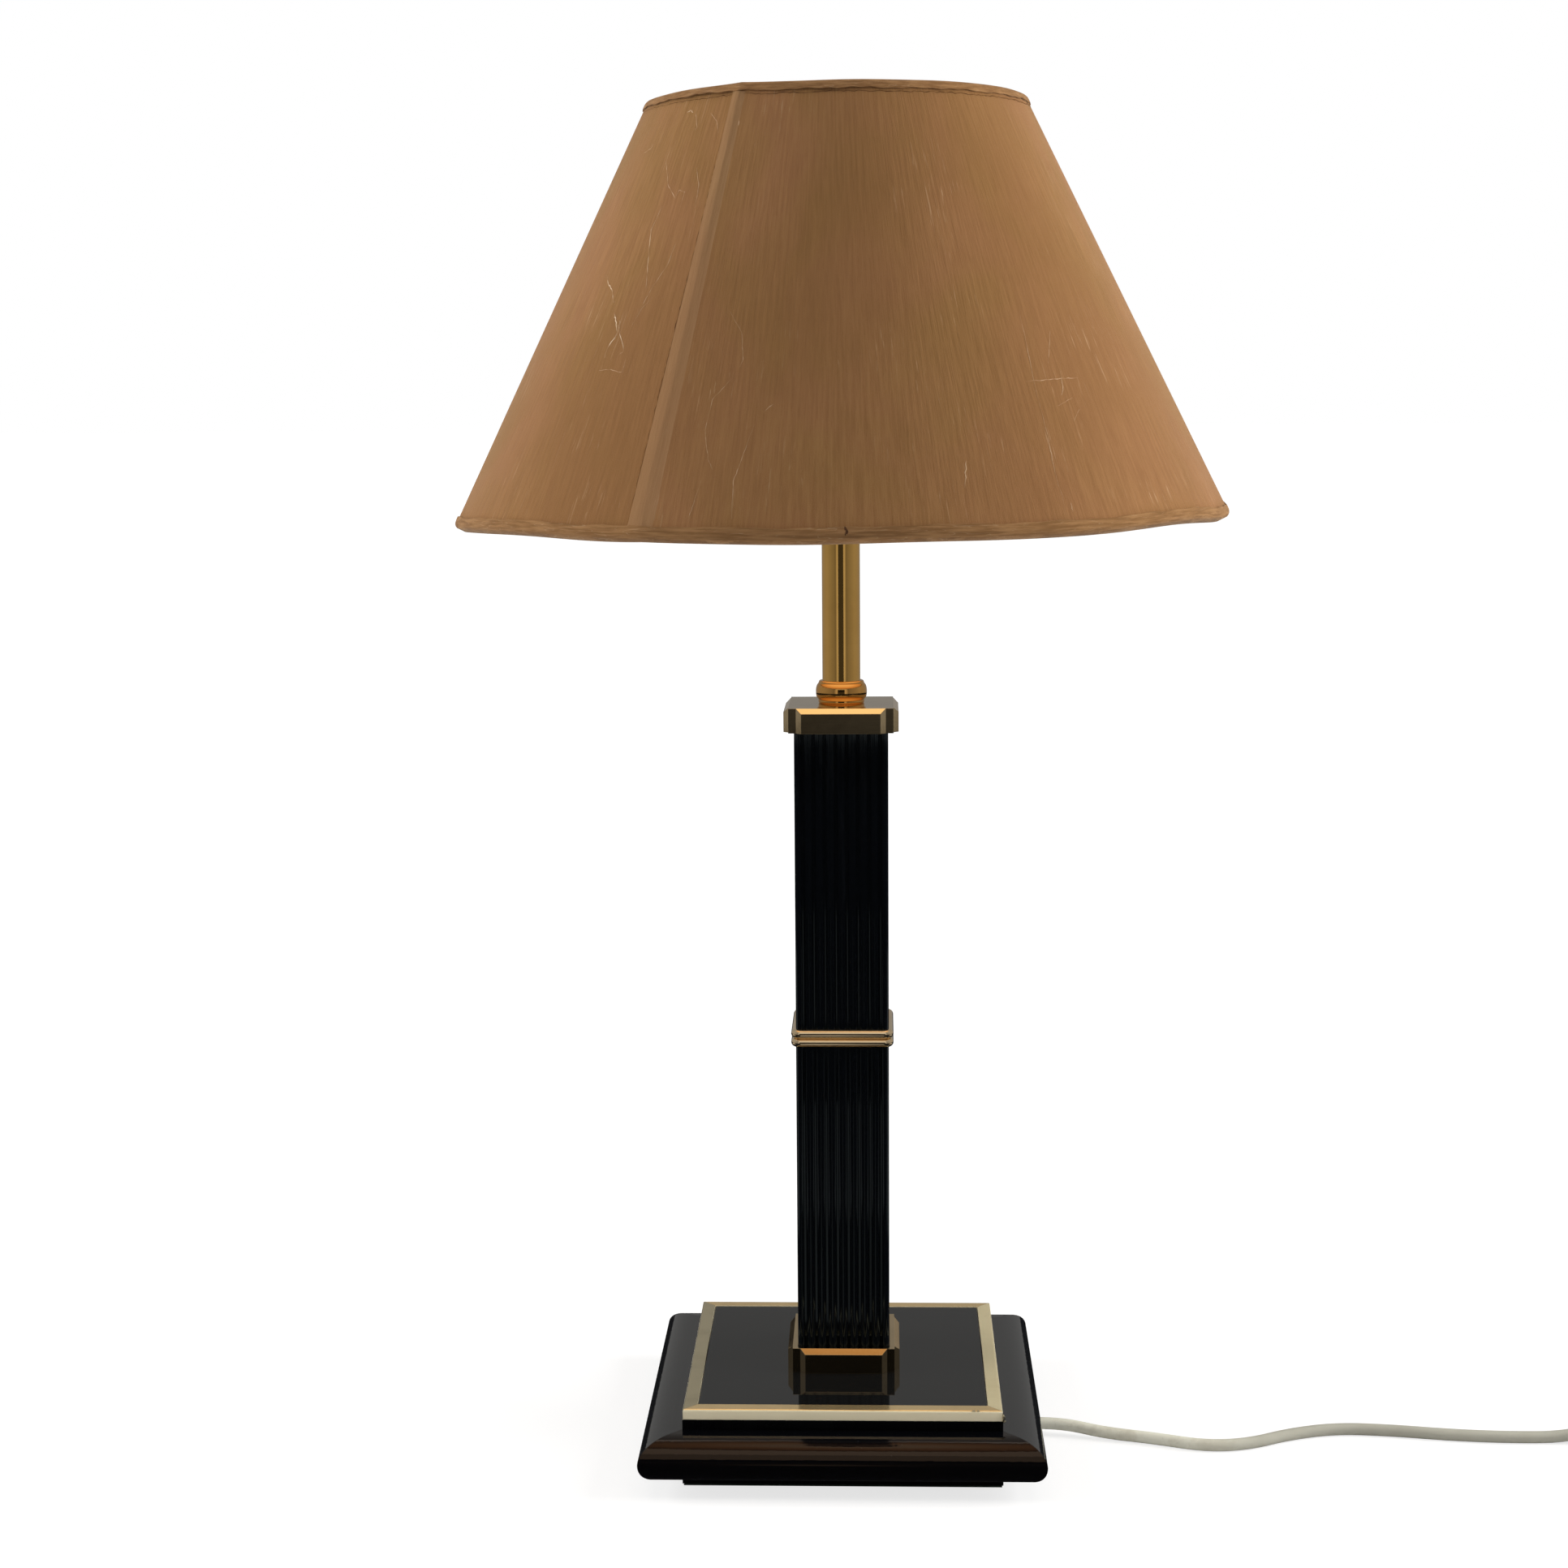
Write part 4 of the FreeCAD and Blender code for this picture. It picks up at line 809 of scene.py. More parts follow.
@dataclass(frozen=True)
class Ceramic(Finish):
    """White unglazed steatite."""

    colour: Colour = (0.72, 0.70, 0.65)
    scorched: Colour = (0.45, 0.38, 0.28)

    def dress(self, shader: Shader) -> None:
        """Fine sugary grain with scorched hints."""
        grain = shader.noise(shader.place(), 1500.0, 3.0)
        scorch = shader.noise(shader.place(), 110.0, 3.0)
        body = shader.blend(shader.band(scorch, 0.5, 0.8, (0.0, 0.5)), self.colour, self.scorched)
        shader.set(Base_Color=body, Roughness=0.6, Normal=shader.bump(grain, 0.00005, 0.5))


CARD = PaintedCard("shade_paint")
STRIP = FoldedStrip("shade_strip_paint")
SCRATCH = ScratchedPaint("shade_scratches")
CRACK = ScratchedPaint("shade_crack", (0.72, 0.55, 0.38), (0.36, 0.21, 0.10))
# Painted shadow: dark lines where the seam's step and the upper strip's free edge cast shade.
SHADOW_LINE = ScratchedPaint("painted_shadow_line", (0.085, 0.038, 0.014), (0.15, 0.068, 0.024))
SPOT = ScratchedPaint("shade_spot", (0.05, 0.022, 0.010), (0.08, 0.035, 0.015))
PAPER = Lining("shade_lining_paper")
MOULDING = Lacquer("moulding_lacquer", (0.0040, 0.0043, 0.0052), level=1.0)
# Front moulding: a darker copy of the lacquer with reflections tinted orange, a painted reflection of
# the lit lining.
FRONT_MOULDING_PAINTED_LIGHT = Lacquer(
    "front_moulding_painted_light", (0.0014, 0.0016, 0.0024), level=0.42, tint=(1.0, 0.66, 0.42)
)
# Plinth: a duller satin copy of the lacquer, its colour and reflection turned down as painted shade
# under the moulding's overhang.
PLINTH = Lacquer("plinth_lacquer", (0.0018, 0.0019, 0.0024), gloss=0.26, level=0.12)
COLUMN = ReededEnamel("column_enamel", (0.0016, 0.0020, 0.0030), gloss=0.05, edge=0.00015, ripple=0.0)
SEAM = PaintedCard(
    "seam_paint",
    deep=(0.270, 0.140, 0.058),
    light=(0.370, 0.205, 0.095),
    pink=(0.340, 0.180, 0.090),
    olive=(0.300, 0.175, 0.075),
)
GLASS = BlackGlass("black_glass")
# One rail brass in lit and shaded copies, as painted light: the front and back rails painted more
# golden, the right rail painted paler.
FRAME_X = FrameBrass(
    "frame_brass_x", (0.96, 0.71, 0.35), (0.74, 0.53, 0.25), 0.07, Grain.ALONG_X, mirror=0.82
)
FRAME_Y = FrameBrass("frame_brass_y", (0.84, 0.73, 0.47), (0.62, 0.53, 0.33), 0.07, Grain.ALONG_Y)
FRAME_LIT_RIGHT = FrameBrass(
    "frame_brass_lit_right", (0.98, 0.85, 0.52), (0.76, 0.64, 0.36), 0.07, Grain.ALONG_Y, mirror=0.62
)
SOLDER = Brass("solder_brass", (0.80, 0.72, 0.52), (0.46, 0.38, 0.24), 0.30, Grain.EVEN, 0.00003, 0.8)
BLOCK = Brass(
    "block_brass",
    colour=(0.60, 0.46, 0.27),
    dull=(0.38, 0.28, 0.15),
    gloss=0.07,
    grain=Grain.ALONG_X,
    grain_depth=0.000004,
    dullness=0.4,
    edge=0.00018,
    # Painted highlight colour on the upward bevels.
    upward_highlight=(0.97, 0.66, 0.29),
)
RING = Brass("ring_brass", (0.98, 0.76, 0.48), (0.76, 0.55, 0.31), 0.06, Grain.ALONG_X, 0.000004, 0.2)
COLLAR = Brass("collar_brass", (0.84, 0.44, 0.125), (0.60, 0.30, 0.07), 0.06, Grain.EVEN, 0.000003, 0.3)
TUBE = Brass("tube_brass", (0.86, 0.50, 0.140), (0.66, 0.37, 0.09), 0.06, Grain.ALONG_Z, 0.000003, 0.3)
CONTACT = Brass("contact_brass", (0.74, 0.57, 0.28), (0.5, 0.38, 0.18), 0.3)
NICKEL = Brass("pin_nickel", (0.72, 0.70, 0.65), (0.52, 0.50, 0.46), 0.18, Grain.ALONG_Y, 0.00001, 0.2)
PLATED = Steel("plated_steel")
ALUMINIUM = Steel("cap_aluminium", (0.70, 0.70, 0.70), 0.28)
BLACK_PLASTIC = Plastic("holder_plastic", (0.018, 0.018, 0.019), 0.30)
INSULATOR = Plastic("bulb_insulator", (0.012, 0.012, 0.014), 0.2)
RUBBER = Plastic("relief_rubber", (0.36, 0.34, 0.30), 0.55, 1400.0, 0.00004, 0.3)
CASE = Plastic("switch_plastic", (0.66, 0.64, 0.54), 0.38, 1500.0, 0.00004)
KEY = Plastic("rocker_plastic", (0.54, 0.52, 0.44), 0.25, 2600.0, 0.00001)
PLUG = Plastic("plug_plastic", (0.64, 0.62, 0.52), 0.45, 1300.0, 0.00005)
TIE = Plastic("tie_plastic", (0.66, 0.66, 0.63), 0.4)
CORES = Plastic("core_insulation", (0.16, 0.22, 0.36), 0.4)
CORD = Sheath("cord_sheath")
FELT = Fibre("base_felt")
BOARD = Fibre("hardboard", (0.22, 0.13, 0.07), (0.30, 0.19, 0.11), Grain.EVEN, 500.0)
SOFTWOOD = Fibre("raw_wood", (0.45, 0.30, 0.16), (0.58, 0.42, 0.25), Grain.ALONG_Z, 300.0)
IRON = CastIron("cast_iron")
MILKY = FrostedBulb("bulb_glass")
STEATITE = Ceramic("steatite")


# ---- making pieces ----


def linked(name: str, data: bpy.types.ID) -> bpy.types.Object:
    """Puts new data into the scene as a piece that rides on the lamp.

    Args:
        name: the piece's name.
        data: its mesh or curve.

    Returns:
        The new object.
    """
    piece = bpy.data.objects.new(name, data)
    bpy.context.scene.collection.objects.link(piece)
    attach(piece, LAMP)
    return piece


def skin_rings(
    shape: bmesh.types.BMesh, rings: Sequence[Sequence[bmesh.types.BMVert]], closed: bool
) -> None:
    """Joins rings of points with smooth faces.

    Args:
        shape: the mesh to add to.
        rings: rings of equally many points, in order.
        closed: True where the last ring joins the first.
    """
    following = [*rings[1:], rings[0]] if closed else rings[1:]
    for first, second in zip(rings, following):
        for index in range(len(first)):
            after = (index + 1) % len(first)
            face = shape.faces.new((first[index], second[index], second[after], first[after]))
            face.smooth = True


def turn_profile(
    shape: bmesh.types.BMesh, profile: Sequence[tuple[float, float]], segments: int
) -> None:
    """Turns a closed profile round the lamp's axis.

    Args:
        shape: the mesh to add to.
        profile: its (radius, height) points.
        segments: steps round.
    """
    rings = []
    for index in range(segments):
        angle = 2 * math.pi * index / segments
        rings.append(
            [
                shape.verts.new((radius * math.cos(angle), radius * math.sin(angle), height))
                for radius, height in profile
            ]
        )
    skin_rings(shape, rings, closed=True)


def finished_mesh(
    shape: bmesh.types.BMesh, name: str, crease: Optional[float] = None
) -> bpy.types.Object:
    """Turns a mesh under construction into a piece that rides on the lamp.

    Args:
        shape: the mesh, which is used up.
        name: the piece's name.
        crease: angle above which an edge stays sharp, or None.

    Returns:
        The piece.
    """
    mesh = bpy.data.meshes.new(name)
    bmesh.ops.recalc_face_normals(shape, faces=shape.faces)
    shape.to_mesh(mesh)
    shape.free()
    if crease is not None:
        mesh.set_sharp_from_angle(angle=crease)
    return linked(name, mesh)


# ---- camera, light and floor ----


@dataclass
class Studio:
    """Camera at the photograph's place, a pale floor and soft lights."""

    eye: Point = (0.016563, -1.142177, 0.460241)
    yaw: float = math.radians(-2.085)
    pitch: float = math.radians(8.435)
    roll: float = math.radians(-0.444)
    sensor: float = 36.0
    focal_pixels: float = 3289.257
    frame_pixels: float = 1932.0
    floor_half: float = 30.0
    floor_glow: float = 0.74
    shadow_reach: float = 0.45
    white_reach: float = 1.3
    ambient: float = 0.21
    # Sizes and tones of the painted reflections: cards that only polished surfaces see.
    wall_reflection_radius: float = 2.0
    wall_reflection_height: float = 3.0
    lining_glow_z: float = 0.407
    lining_glow_radius: float = 0.155
    floor_tone: Colour = (0.80, 0.80, 0.80)
    seen_floor_tone: Colour = (0.34, 0.34, 0.34)
    ring_steps: int = 64
    table_reflection_lift: float = 0.0004
    paper_reflection_lift: float = 0.0008
    sheet_reflection_edge: float = 0.022

    def place_camera(self) -> None:
        """Makes the camera and sets it as the scene's."""
        ahead = Vector(
            (
                math.sin(self.yaw) * math.cos(self.pitch),
                math.cos(self.yaw) * math.cos(self.pitch),
                -math.sin(self.pitch),
            )
        )
        level = Vector((math.cos(self.yaw), -math.sin(self.yaw), 0.0))
        upright = level.cross(ahead)
        right = level * math.cos(self.roll) + upright * math.sin(self.roll)
        up = upright * math.cos(self.roll) - level * math.sin(self.roll)
        lens = bpy.data.cameras.new("camera")
        lens.sensor_width = self.sensor
        lens.lens = self.sensor * self.focal_pixels / self.frame_pixels
        lens.clip_end = 100.0
        camera = bpy.data.objects.new("camera", lens)
        turn = Matrix((right, up, -ahead)).transposed().to_4x4()
        camera.matrix_world = Matrix.Translation(self.eye) @ turn
        bpy.context.scene.collection.objects.link(camera)
        bpy.context.scene.camera = camera

    def seen_rays(self, tree: bpy.types.NodeTree) -> bpy.types.NodeSocket:
        """Value that is 1 on the rays that should see the backdrop itself.

        Args:
            tree: the node tree to add to.

        Returns:
            The value's socket.
        """
        path = tree.nodes.new("ShaderNodeLightPath")
        total = None
        for kind in RayKind:
            if total is None:
                total = path.outputs[kind.value]
                continue
            larger = tree.nodes.new("ShaderNodeMath")
            larger.operation = "MAXIMUM"
            tree.links.new(total, larger.inputs[0])
            tree.links.new(path.outputs[kind.value], larger.inputs[1])
            total = larger.outputs[0]
        return total

    def whiteness(self, tree: bpy.types.NodeTree) -> bpy.types.NodeSocket:
        """Glow of the seen floor: low round the lamp, where shadows fall, and white far off.

        Args:
            tree: the floor's node tree.

        Returns:
            The glow's strength socket.
        """
        place = tree.nodes.new("ShaderNodeTexCoord").outputs["Object"]
        fade = tree.nodes.new("ShaderNodeMapRange")
        fade.interpolation_type = "SMOOTHSTEP"
        tree.links.new(component(tree, place, None), fade.inputs["Value"])
        fade.inputs["From Min"].default_value = self.shadow_reach
        fade.inputs["From Max"].default_value = self.white_reach
        fade.inputs["To Min"].default_value = self.floor_glow
        fade.inputs["To Max"].default_value = 1.0
        return fade.outputs[0]

    def lay_floor(self) -> None:
        """Makes the pale floor, which shows the lamp's shadow softly."""
        mesh = bpy.data.meshes.new("floor")
        half = self.floor_half
        corners = [(-half, -half, 0), (half, -half, 0), (half, half, 0), (-half, half, 0)]
        mesh.from_pydata(corners, [], [(0, 1, 2, 3)])
        floor = bpy.data.objects.new("floor", mesh)
        bpy.context.scene.collection.objects.link(floor)
        material = bpy.data.materials.new("floor")
        tree = bare_tree(material)
        plain = tree.nodes.new("ShaderNodeBsdfDiffuse")
        plain.inputs["Color"].default_value = (*self.floor_tone, 1)
        shaded = tree.nodes.new("ShaderNodeBsdfDiffuse")
        shaded.inputs["Color"].default_value = (*self.seen_floor_tone, 1)
        glow = tree.nodes.new("ShaderNodeEmission")
        tree.links.new(self.whiteness(tree), glow.inputs["Strength"])
        both = tree.nodes.new("ShaderNodeAddShader")
        choose = tree.nodes.new("ShaderNodeMixShader")
        output = tree.nodes.new("ShaderNodeOutputMaterial")
        tree.links.new(shaded.outputs[0], both.inputs[0])
        tree.links.new(glow.outputs[0], both.inputs[1])
        tree.links.new(self.seen_rays(tree), choose.inputs[0])
        tree.links.new(plain.outputs[0], choose.inputs[1])
        tree.links.new(both.outputs[0], choose.inputs[2])
        tree.links.new(choose.outputs[0], output.inputs["Surface"])
        mesh.materials.append(material)

    def hang_world(self) -> None:
        """White backdrop for what sees it, and a soft ambient light for the rest."""
        world = bpy.data.worlds.new("studio")
        bpy.context.scene.world = world
        tree = bare_tree(world)
        soft = tree.nodes.new("ShaderNodeBackground")
        soft.inputs["Strength"].default_value = self.ambient
        backdrop = tree.nodes.new("ShaderNodeBackground")
        backdrop.inputs["Color"].default_value = (1, 1, 1, 1)
        backdrop.inputs["Strength"].default_value = 1.0
        choose = tree.nodes.new("ShaderNodeMixShader")
        output = tree.nodes.new("ShaderNodeOutputWorld")
        tree.links.new(self.seen_rays(tree), choose.inputs[0])
        tree.links.new(soft.outputs[0], choose.inputs[1])
        tree.links.new(backdrop.outputs[0], choose.inputs[2])
        tree.links.new(choose.outputs[0], output.inputs["Surface"])

    def reflected(
        self,
        name: str,
        mesh: bpy.types.Mesh,
        axis: Optional[str],
        ramp: Sequence[tuple[float, Colour]],
    ) -> None:
        """Sets a glowing card that only shows in reflections, as a painted reflection.

        Args:
            name: the card's name.
            mesh: its faces.
            axis: the coordinate that its tone follows, or None for the distance from the lamp.
            ramp: tones at places along that coordinate, in metres.
        """
        material = bpy.data.materials.new(name)
        tree = bare_tree(material)
        place = tree.nodes.new("ShaderNodeTexCoord").outputs["Object"]
        share = tree.nodes.new("ShaderNodeMapRange")
        share.inputs["From Min"].default_value = ramp[0][0]
        share.inputs["From Max"].default_value = ramp[-1][0]
        tree.links.new(component(tree, place, axis), share.inputs["Value"])
        tones = tree.nodes.new("ShaderNodeValToRGB")
        tree.links.new(share.outputs[0], tones.inputs[0])
        span = ramp[-1][0] - ramp[0][0]
        marks = tones.color_ramp.elements
        for _ in ramp[2:]:
            marks.new(0.5)
        for mark, (where, tone) in zip(marks, ramp):
            mark.position = (where - ramp[0][0]) / span
            mark.color = (*tone, 1.0)
        glow = tree.nodes.new("ShaderNodeEmission")
        tree.links.new(tones.outputs[0], glow.inputs["Color"])
        output = tree.nodes.new("ShaderNodeOutputMaterial")
        tree.links.new(glow.outputs[0], output.inputs["Surface"])
        mesh.materials.append(material)
        card = bpy.data.objects.new(name, mesh)
        card.visible_camera = False
        card.visible_diffuse = False
        card.visible_transmission = False
        card.visible_shadow = False
        bpy.context.scene.collection.objects.link(card)

    def ring(self, name: str, low: tuple[float, float], high: tuple[float, float]) -> bpy.types.Mesh:
        """Band round the lamp between two circles.

        Args:
            name: the mesh's name.
            low: radius and height of the first circle.
            high: radius and height of the second.

        Returns:
            The mesh.
        """
        steps = self.ring_steps
        points = []
        for radius, height in (low, high):
            for index in range(steps):
                angle = 2 * math.pi * index / steps
                points.append((radius * math.cos(angle), radius * math.sin(angle), height))
        faces = [
            (index, (index + 1) % steps, steps + (index + 1) % steps, steps + index)
            for index in range(steps)
        ]
        mesh = bpy.data.meshes.new(name)
        mesh.from_pydata(points, [], faces)
        return mesh

    def panel(self, name: str, corner: Point, first: Point, second: Point) -> bpy.types.Mesh:
        """Flat rectangle.

        Args:
            name: the mesh's name.
            corner: one corner.
            first: edge that leaves it.
            second: other edge that leaves it.

        Returns:
            The mesh.
        """
        start, along, across = Vector(corner), Vector(first), Vector(second)
        mesh = bpy.data.meshes.new(name)
        corners = [start, start + along, start + along + across, start + across]
        mesh.from_pydata([tuple(point) for point in corners], [], [(0, 1, 2, 3)])
        return mesh

    def paint_reflections(self) -> None:
        """Painted reflections: glowing cards that only polished surfaces see, standing for a dark table,
        walls, a dark front, papers and the lit lining.
        """
        far = self.wall_reflection_radius
        table = self.ring("table_reflection", (0.001, self.table_reflection_lift), (far, self.table_reflection_lift))
        near_tone, far_tone = (0.012, 0.012, 0.013), (0.020, 0.021, 0.024)
        self.reflected("table_reflection", table, None, ((0.1, near_tone), (far, far_tone)))
        wall = self.ring("wall_reflection", (far, 0.0), (far, self.wall_reflection_height))
        levels = (
            (-far, 0.55),
            (-1.86, 0.50),
            (-1.70, 0.17),
            (-1.50, 0.22),
            (-0.90, 0.27),
            (0.0, 0.33),
            (1.0, 0.32),
            (far, 0.27),
        )
        self.reflected("wall_reflection", wall, "Y", self.toned(levels))
        screen = self.panel("front_reflection", (-0.66, -1.92, 0.0), (1.20, 0.0, 0.0), (0.0, 0.0, 0.95))
        levels = (
            (0.0, 0.008),
            (0.050, 0.010),
            (0.066, 0.055),
            (0.36, 0.045),
            (0.40, 0.014),
            (0.95, 0.014),
        )
        self.reflected("front_reflection", screen, "Z", self.toned(levels))
        near_wall = far - 0.02
        skirt = self.ring("skirt_reflection", (near_wall, 0.0), (near_wall, 0.055))
        self.reflected("skirt_reflection", skirt, "Z", self.toned(((0.0, 0.008), (0.055, 0.012))))
        for name, start, depth, level, right in (
            ("near_sheet_reflection", -0.58, 0.41, 0.30, 0.045),
            ("distant_sheet_reflection", -1.22, 0.42, 0.36, 0.03),
        ):
            corner = (-0.11, start, self.paper_reflection_lift)
            sheet = self.panel(name, corner, (0.20, 0.0, 0.0), (0.0, depth, 0.0))
            edge = self.sheet_reflection_edge
            levels = ((-0.11, edge), (-0.065, edge), (-0.02, level), (right, edge), (0.09, edge))
            self.reflected(name, sheet, "X", self.toned(levels))
        for side, name in ((-1, "paper_reflection_left"), (1, "paper_reflection_right")):
            corner = (side * 0.30, -0.20, self.paper_reflection_lift)
            paper = self.panel(name, corner, (side * 0.75, 0.0, 0.0), (0.0, 0.40, 0.0))
            ends = sorted(((side * 0.30, 0.30), (side * 1.05, 0.6)))
            self.reflected(name, paper, "X", self.toned(ends))
        # Painted reflection: a glowing disc inside the shade, which is no lamp, stands for the lit
        # lining in the reflections of the brass and lacquer below.
        lining = self.ring("lining_glow_reflection", (0.020, self.lining_glow_z), (self.lining_glow_radius, self.lining_glow_z))
        reach = math.hypot(self.lining_glow_radius, self.lining_glow_z)
        glowing = (
            (self.lining_glow_z, (1.1, 0.98, 0.80)),
            (0.416, (0.85, 0.54, 0.30)),
            (reach, (0.30, 0.19, 0.11)),
        )
        self.reflected("lining_glow_reflection", lining, None, glowing)

    def toned(self, levels: Sequence[tuple[float, float]]) -> list[tuple[float, Colour]]:
        """Turns grey levels at places along a card into tones with a trace of warmth."""
        return [(where, (level, level * 0.985, level * 0.955)) for where, level in levels]

    def softbox(
        self, name: str, place: Point, aim: Point, size: tuple[float, float], power: float, tint: Colour
    ) -> None:
        """Hangs one rectangular lamp.

        Args:
            name: the lamp's name.
            place: its middle.
            aim: the point that it faces.
            size: width and height in metres.
            power: watts.
            tint: the light's colour.
        """
        light = bpy.data.lights.new(name, "AREA")
        light.shape = "RECTANGLE"
        light.size, light.size_y = size
        light.energy = power
        light.color = tint
        lamp = bpy.data.objects.new(name, light)
        lamp.visible_glossy = False
        lamp.location = place
        lamp.rotation_euler = (Vector(aim) - Vector(place)).to_track_quat("-Z", "Y").to_euler()
        bpy.context.scene.collection.objects.link(lamp)

    def build(self) -> None:
        """Sets the stage."""
        self.place_camera()
        self.lay_floor()
        self.hang_world()
        self.paint_reflections()
        middle = (0.0, 0.0, 0.35)
        white, warm = (1.0, 0.99, 0.97), (1.0, 0.95, 0.89)
        self.softbox("left_box", (-1.8, -0.05, 0.9), middle, (1.0, 1.5), 32.0, white)
        self.softbox("right_box", (1.8, -0.05, 0.9), middle, (1.0, 1.5), 44.0, white)
        self.softbox("top_box", (0.0, -0.2, 2.3), middle, (2.4, 1.6), 19.0, warm)
        bpy.context.scene.view_settings.view_transform = "Standard"


# ---- mains lead ----


@dataclass
class MainsLead:
    """The lead on the table: to the switch, then through the coil to the plug."""

    radius: float = 2.6 * MM
    run: Sequence[Point] = (
        (0.0860, -0.0090, 0.0052),
        (0.0970, -0.0090, 0.0052),
        (0.1150, -0.0143, 0.0030),
        (0.1360, -0.0190, 0.0026),
        (0.1580, -0.0276, 0.0026),
        (0.1770, -0.0249, 0.0026),
        (0.1960, -0.0135, 0.0026),
        (0.2180, -0.0065, 0.0026),
        (0.2420, -0.0085, 0.0026),
        (0.2680, -0.0135, 0.0026),
        (0.2940, -0.0156, 0.0026),
        (0.3160, -0.0146, 0.0026),
        (0.3340, -0.0160, 0.0080),
        (0.3450, -0.0160, 0.0080),
    )
    link: Sequence[Point] = (
        (0.4090, -0.0160, 0.0080),
        (0.4200, -0.0160, 0.0080),
        (0.4360, -0.0175, 0.0040),
        (0.4508, -0.0160, 0.0035),
        (0.4618, -0.0160, 0.0035),
    )
    tail: Sequence[Point] = (
        (0.50655, 0.0302, 0.0093),
        (0.50655, 0.0412, 0.0093),
        (0.5080, 0.0590, 0.00685),
        (0.5080, 0.0700, 0.00685),
    )
    coil_centre: tuple[float, float] = (0.467, 0.025)
    coil_outer: float = 41.0 * MM
    coil_pitch: float = 5.8 * MM
    table_turns: float = 3.5
    climb_turns: float = 0.5
    top_turns: float = 3.25
    low: float = 3.5 * MM
    points_per_turn: int = 16
    round_steps: int = 6
    length_steps: int = 8
    run_length: float = 0.267
    coil_length: float = 1.462

    def coil(self) -> list[Point]:
        """Control points of the two layers of turns.

        Returns:
            The points, from the table layer's start to the top layer's end.
        """
        inner = self.coil_outer - self.table_turns * self.coil_pitch
        reach = 1.0 / math.cos(math.pi / self.points_per_turn)
        total = self.table_turns + self.climb_turns + self.top_turns
        points = []
        for index in range(1, round(total * self.points_per_turn)):
            turn = index / self.points_per_turn
            climb = turn - self.table_turns
            share = min(max(climb / self.climb_turns, 0.0), 1.0)
            if climb <= 0:
                radius = self.coil_outer - self.coil_pitch * turn
            elif share < 1.0:
                radius = inner - self.coil_pitch * climb * (1 - share)
            else:
                radius = inner + self.coil_pitch * (climb - self.climb_turns)
            height = self.low + self.coil_pitch * share * share * (3 - 2 * share)
            angle = 2 * math.pi * turn - math.pi / 2
            points.append(
                (
                    self.coil_centre[0] + reach * radius * math.cos(angle),
                    self.coil_centre[1] + reach * radius * math.sin(angle),
                    height,
                )
            )
        return points

    def spline(self, name: str, points: Sequence[Point]) -> bpy.types.Object:
        """Makes one round cord along a smooth curve, whose points carry the cord's radius.

        Args:
            name: the piece's name.
            points: the curve's control points.

        Returns:
            The cord.
        """
        curve = bpy.data.curves.new(name, "CURVE")
        curve.dimensions = "3D"
        curve.bevel_depth = 1.0
        curve.bevel_resolution = self.round_steps
        curve.use_fill_caps = True
        line = curve.splines.new("NURBS")
        line.points.add(len(points) - 1)
        for target, point in zip(line.points, points):
            target.co = (*point, 1.0)
            target.radius = self.radius
        line.order_u = 3
        line.use_endpoint_u = True
        line.resolution_u = self.length_steps
        cord = linked(name, curve)
        CORD.put_on(cord)
        return cord

    def build(self) -> None:
        run = self.spline("lead_to_switch", self.run)
        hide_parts("cord_run")
        wound = self.spline("lead_to_plug", [*self.link, *self.coil(), *self.tail])
        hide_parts("cord_link", "cord_coil", "cord_tail")
        LOG.info("lead: %s and %s", run.name, wound.name)


# ---- shade ----


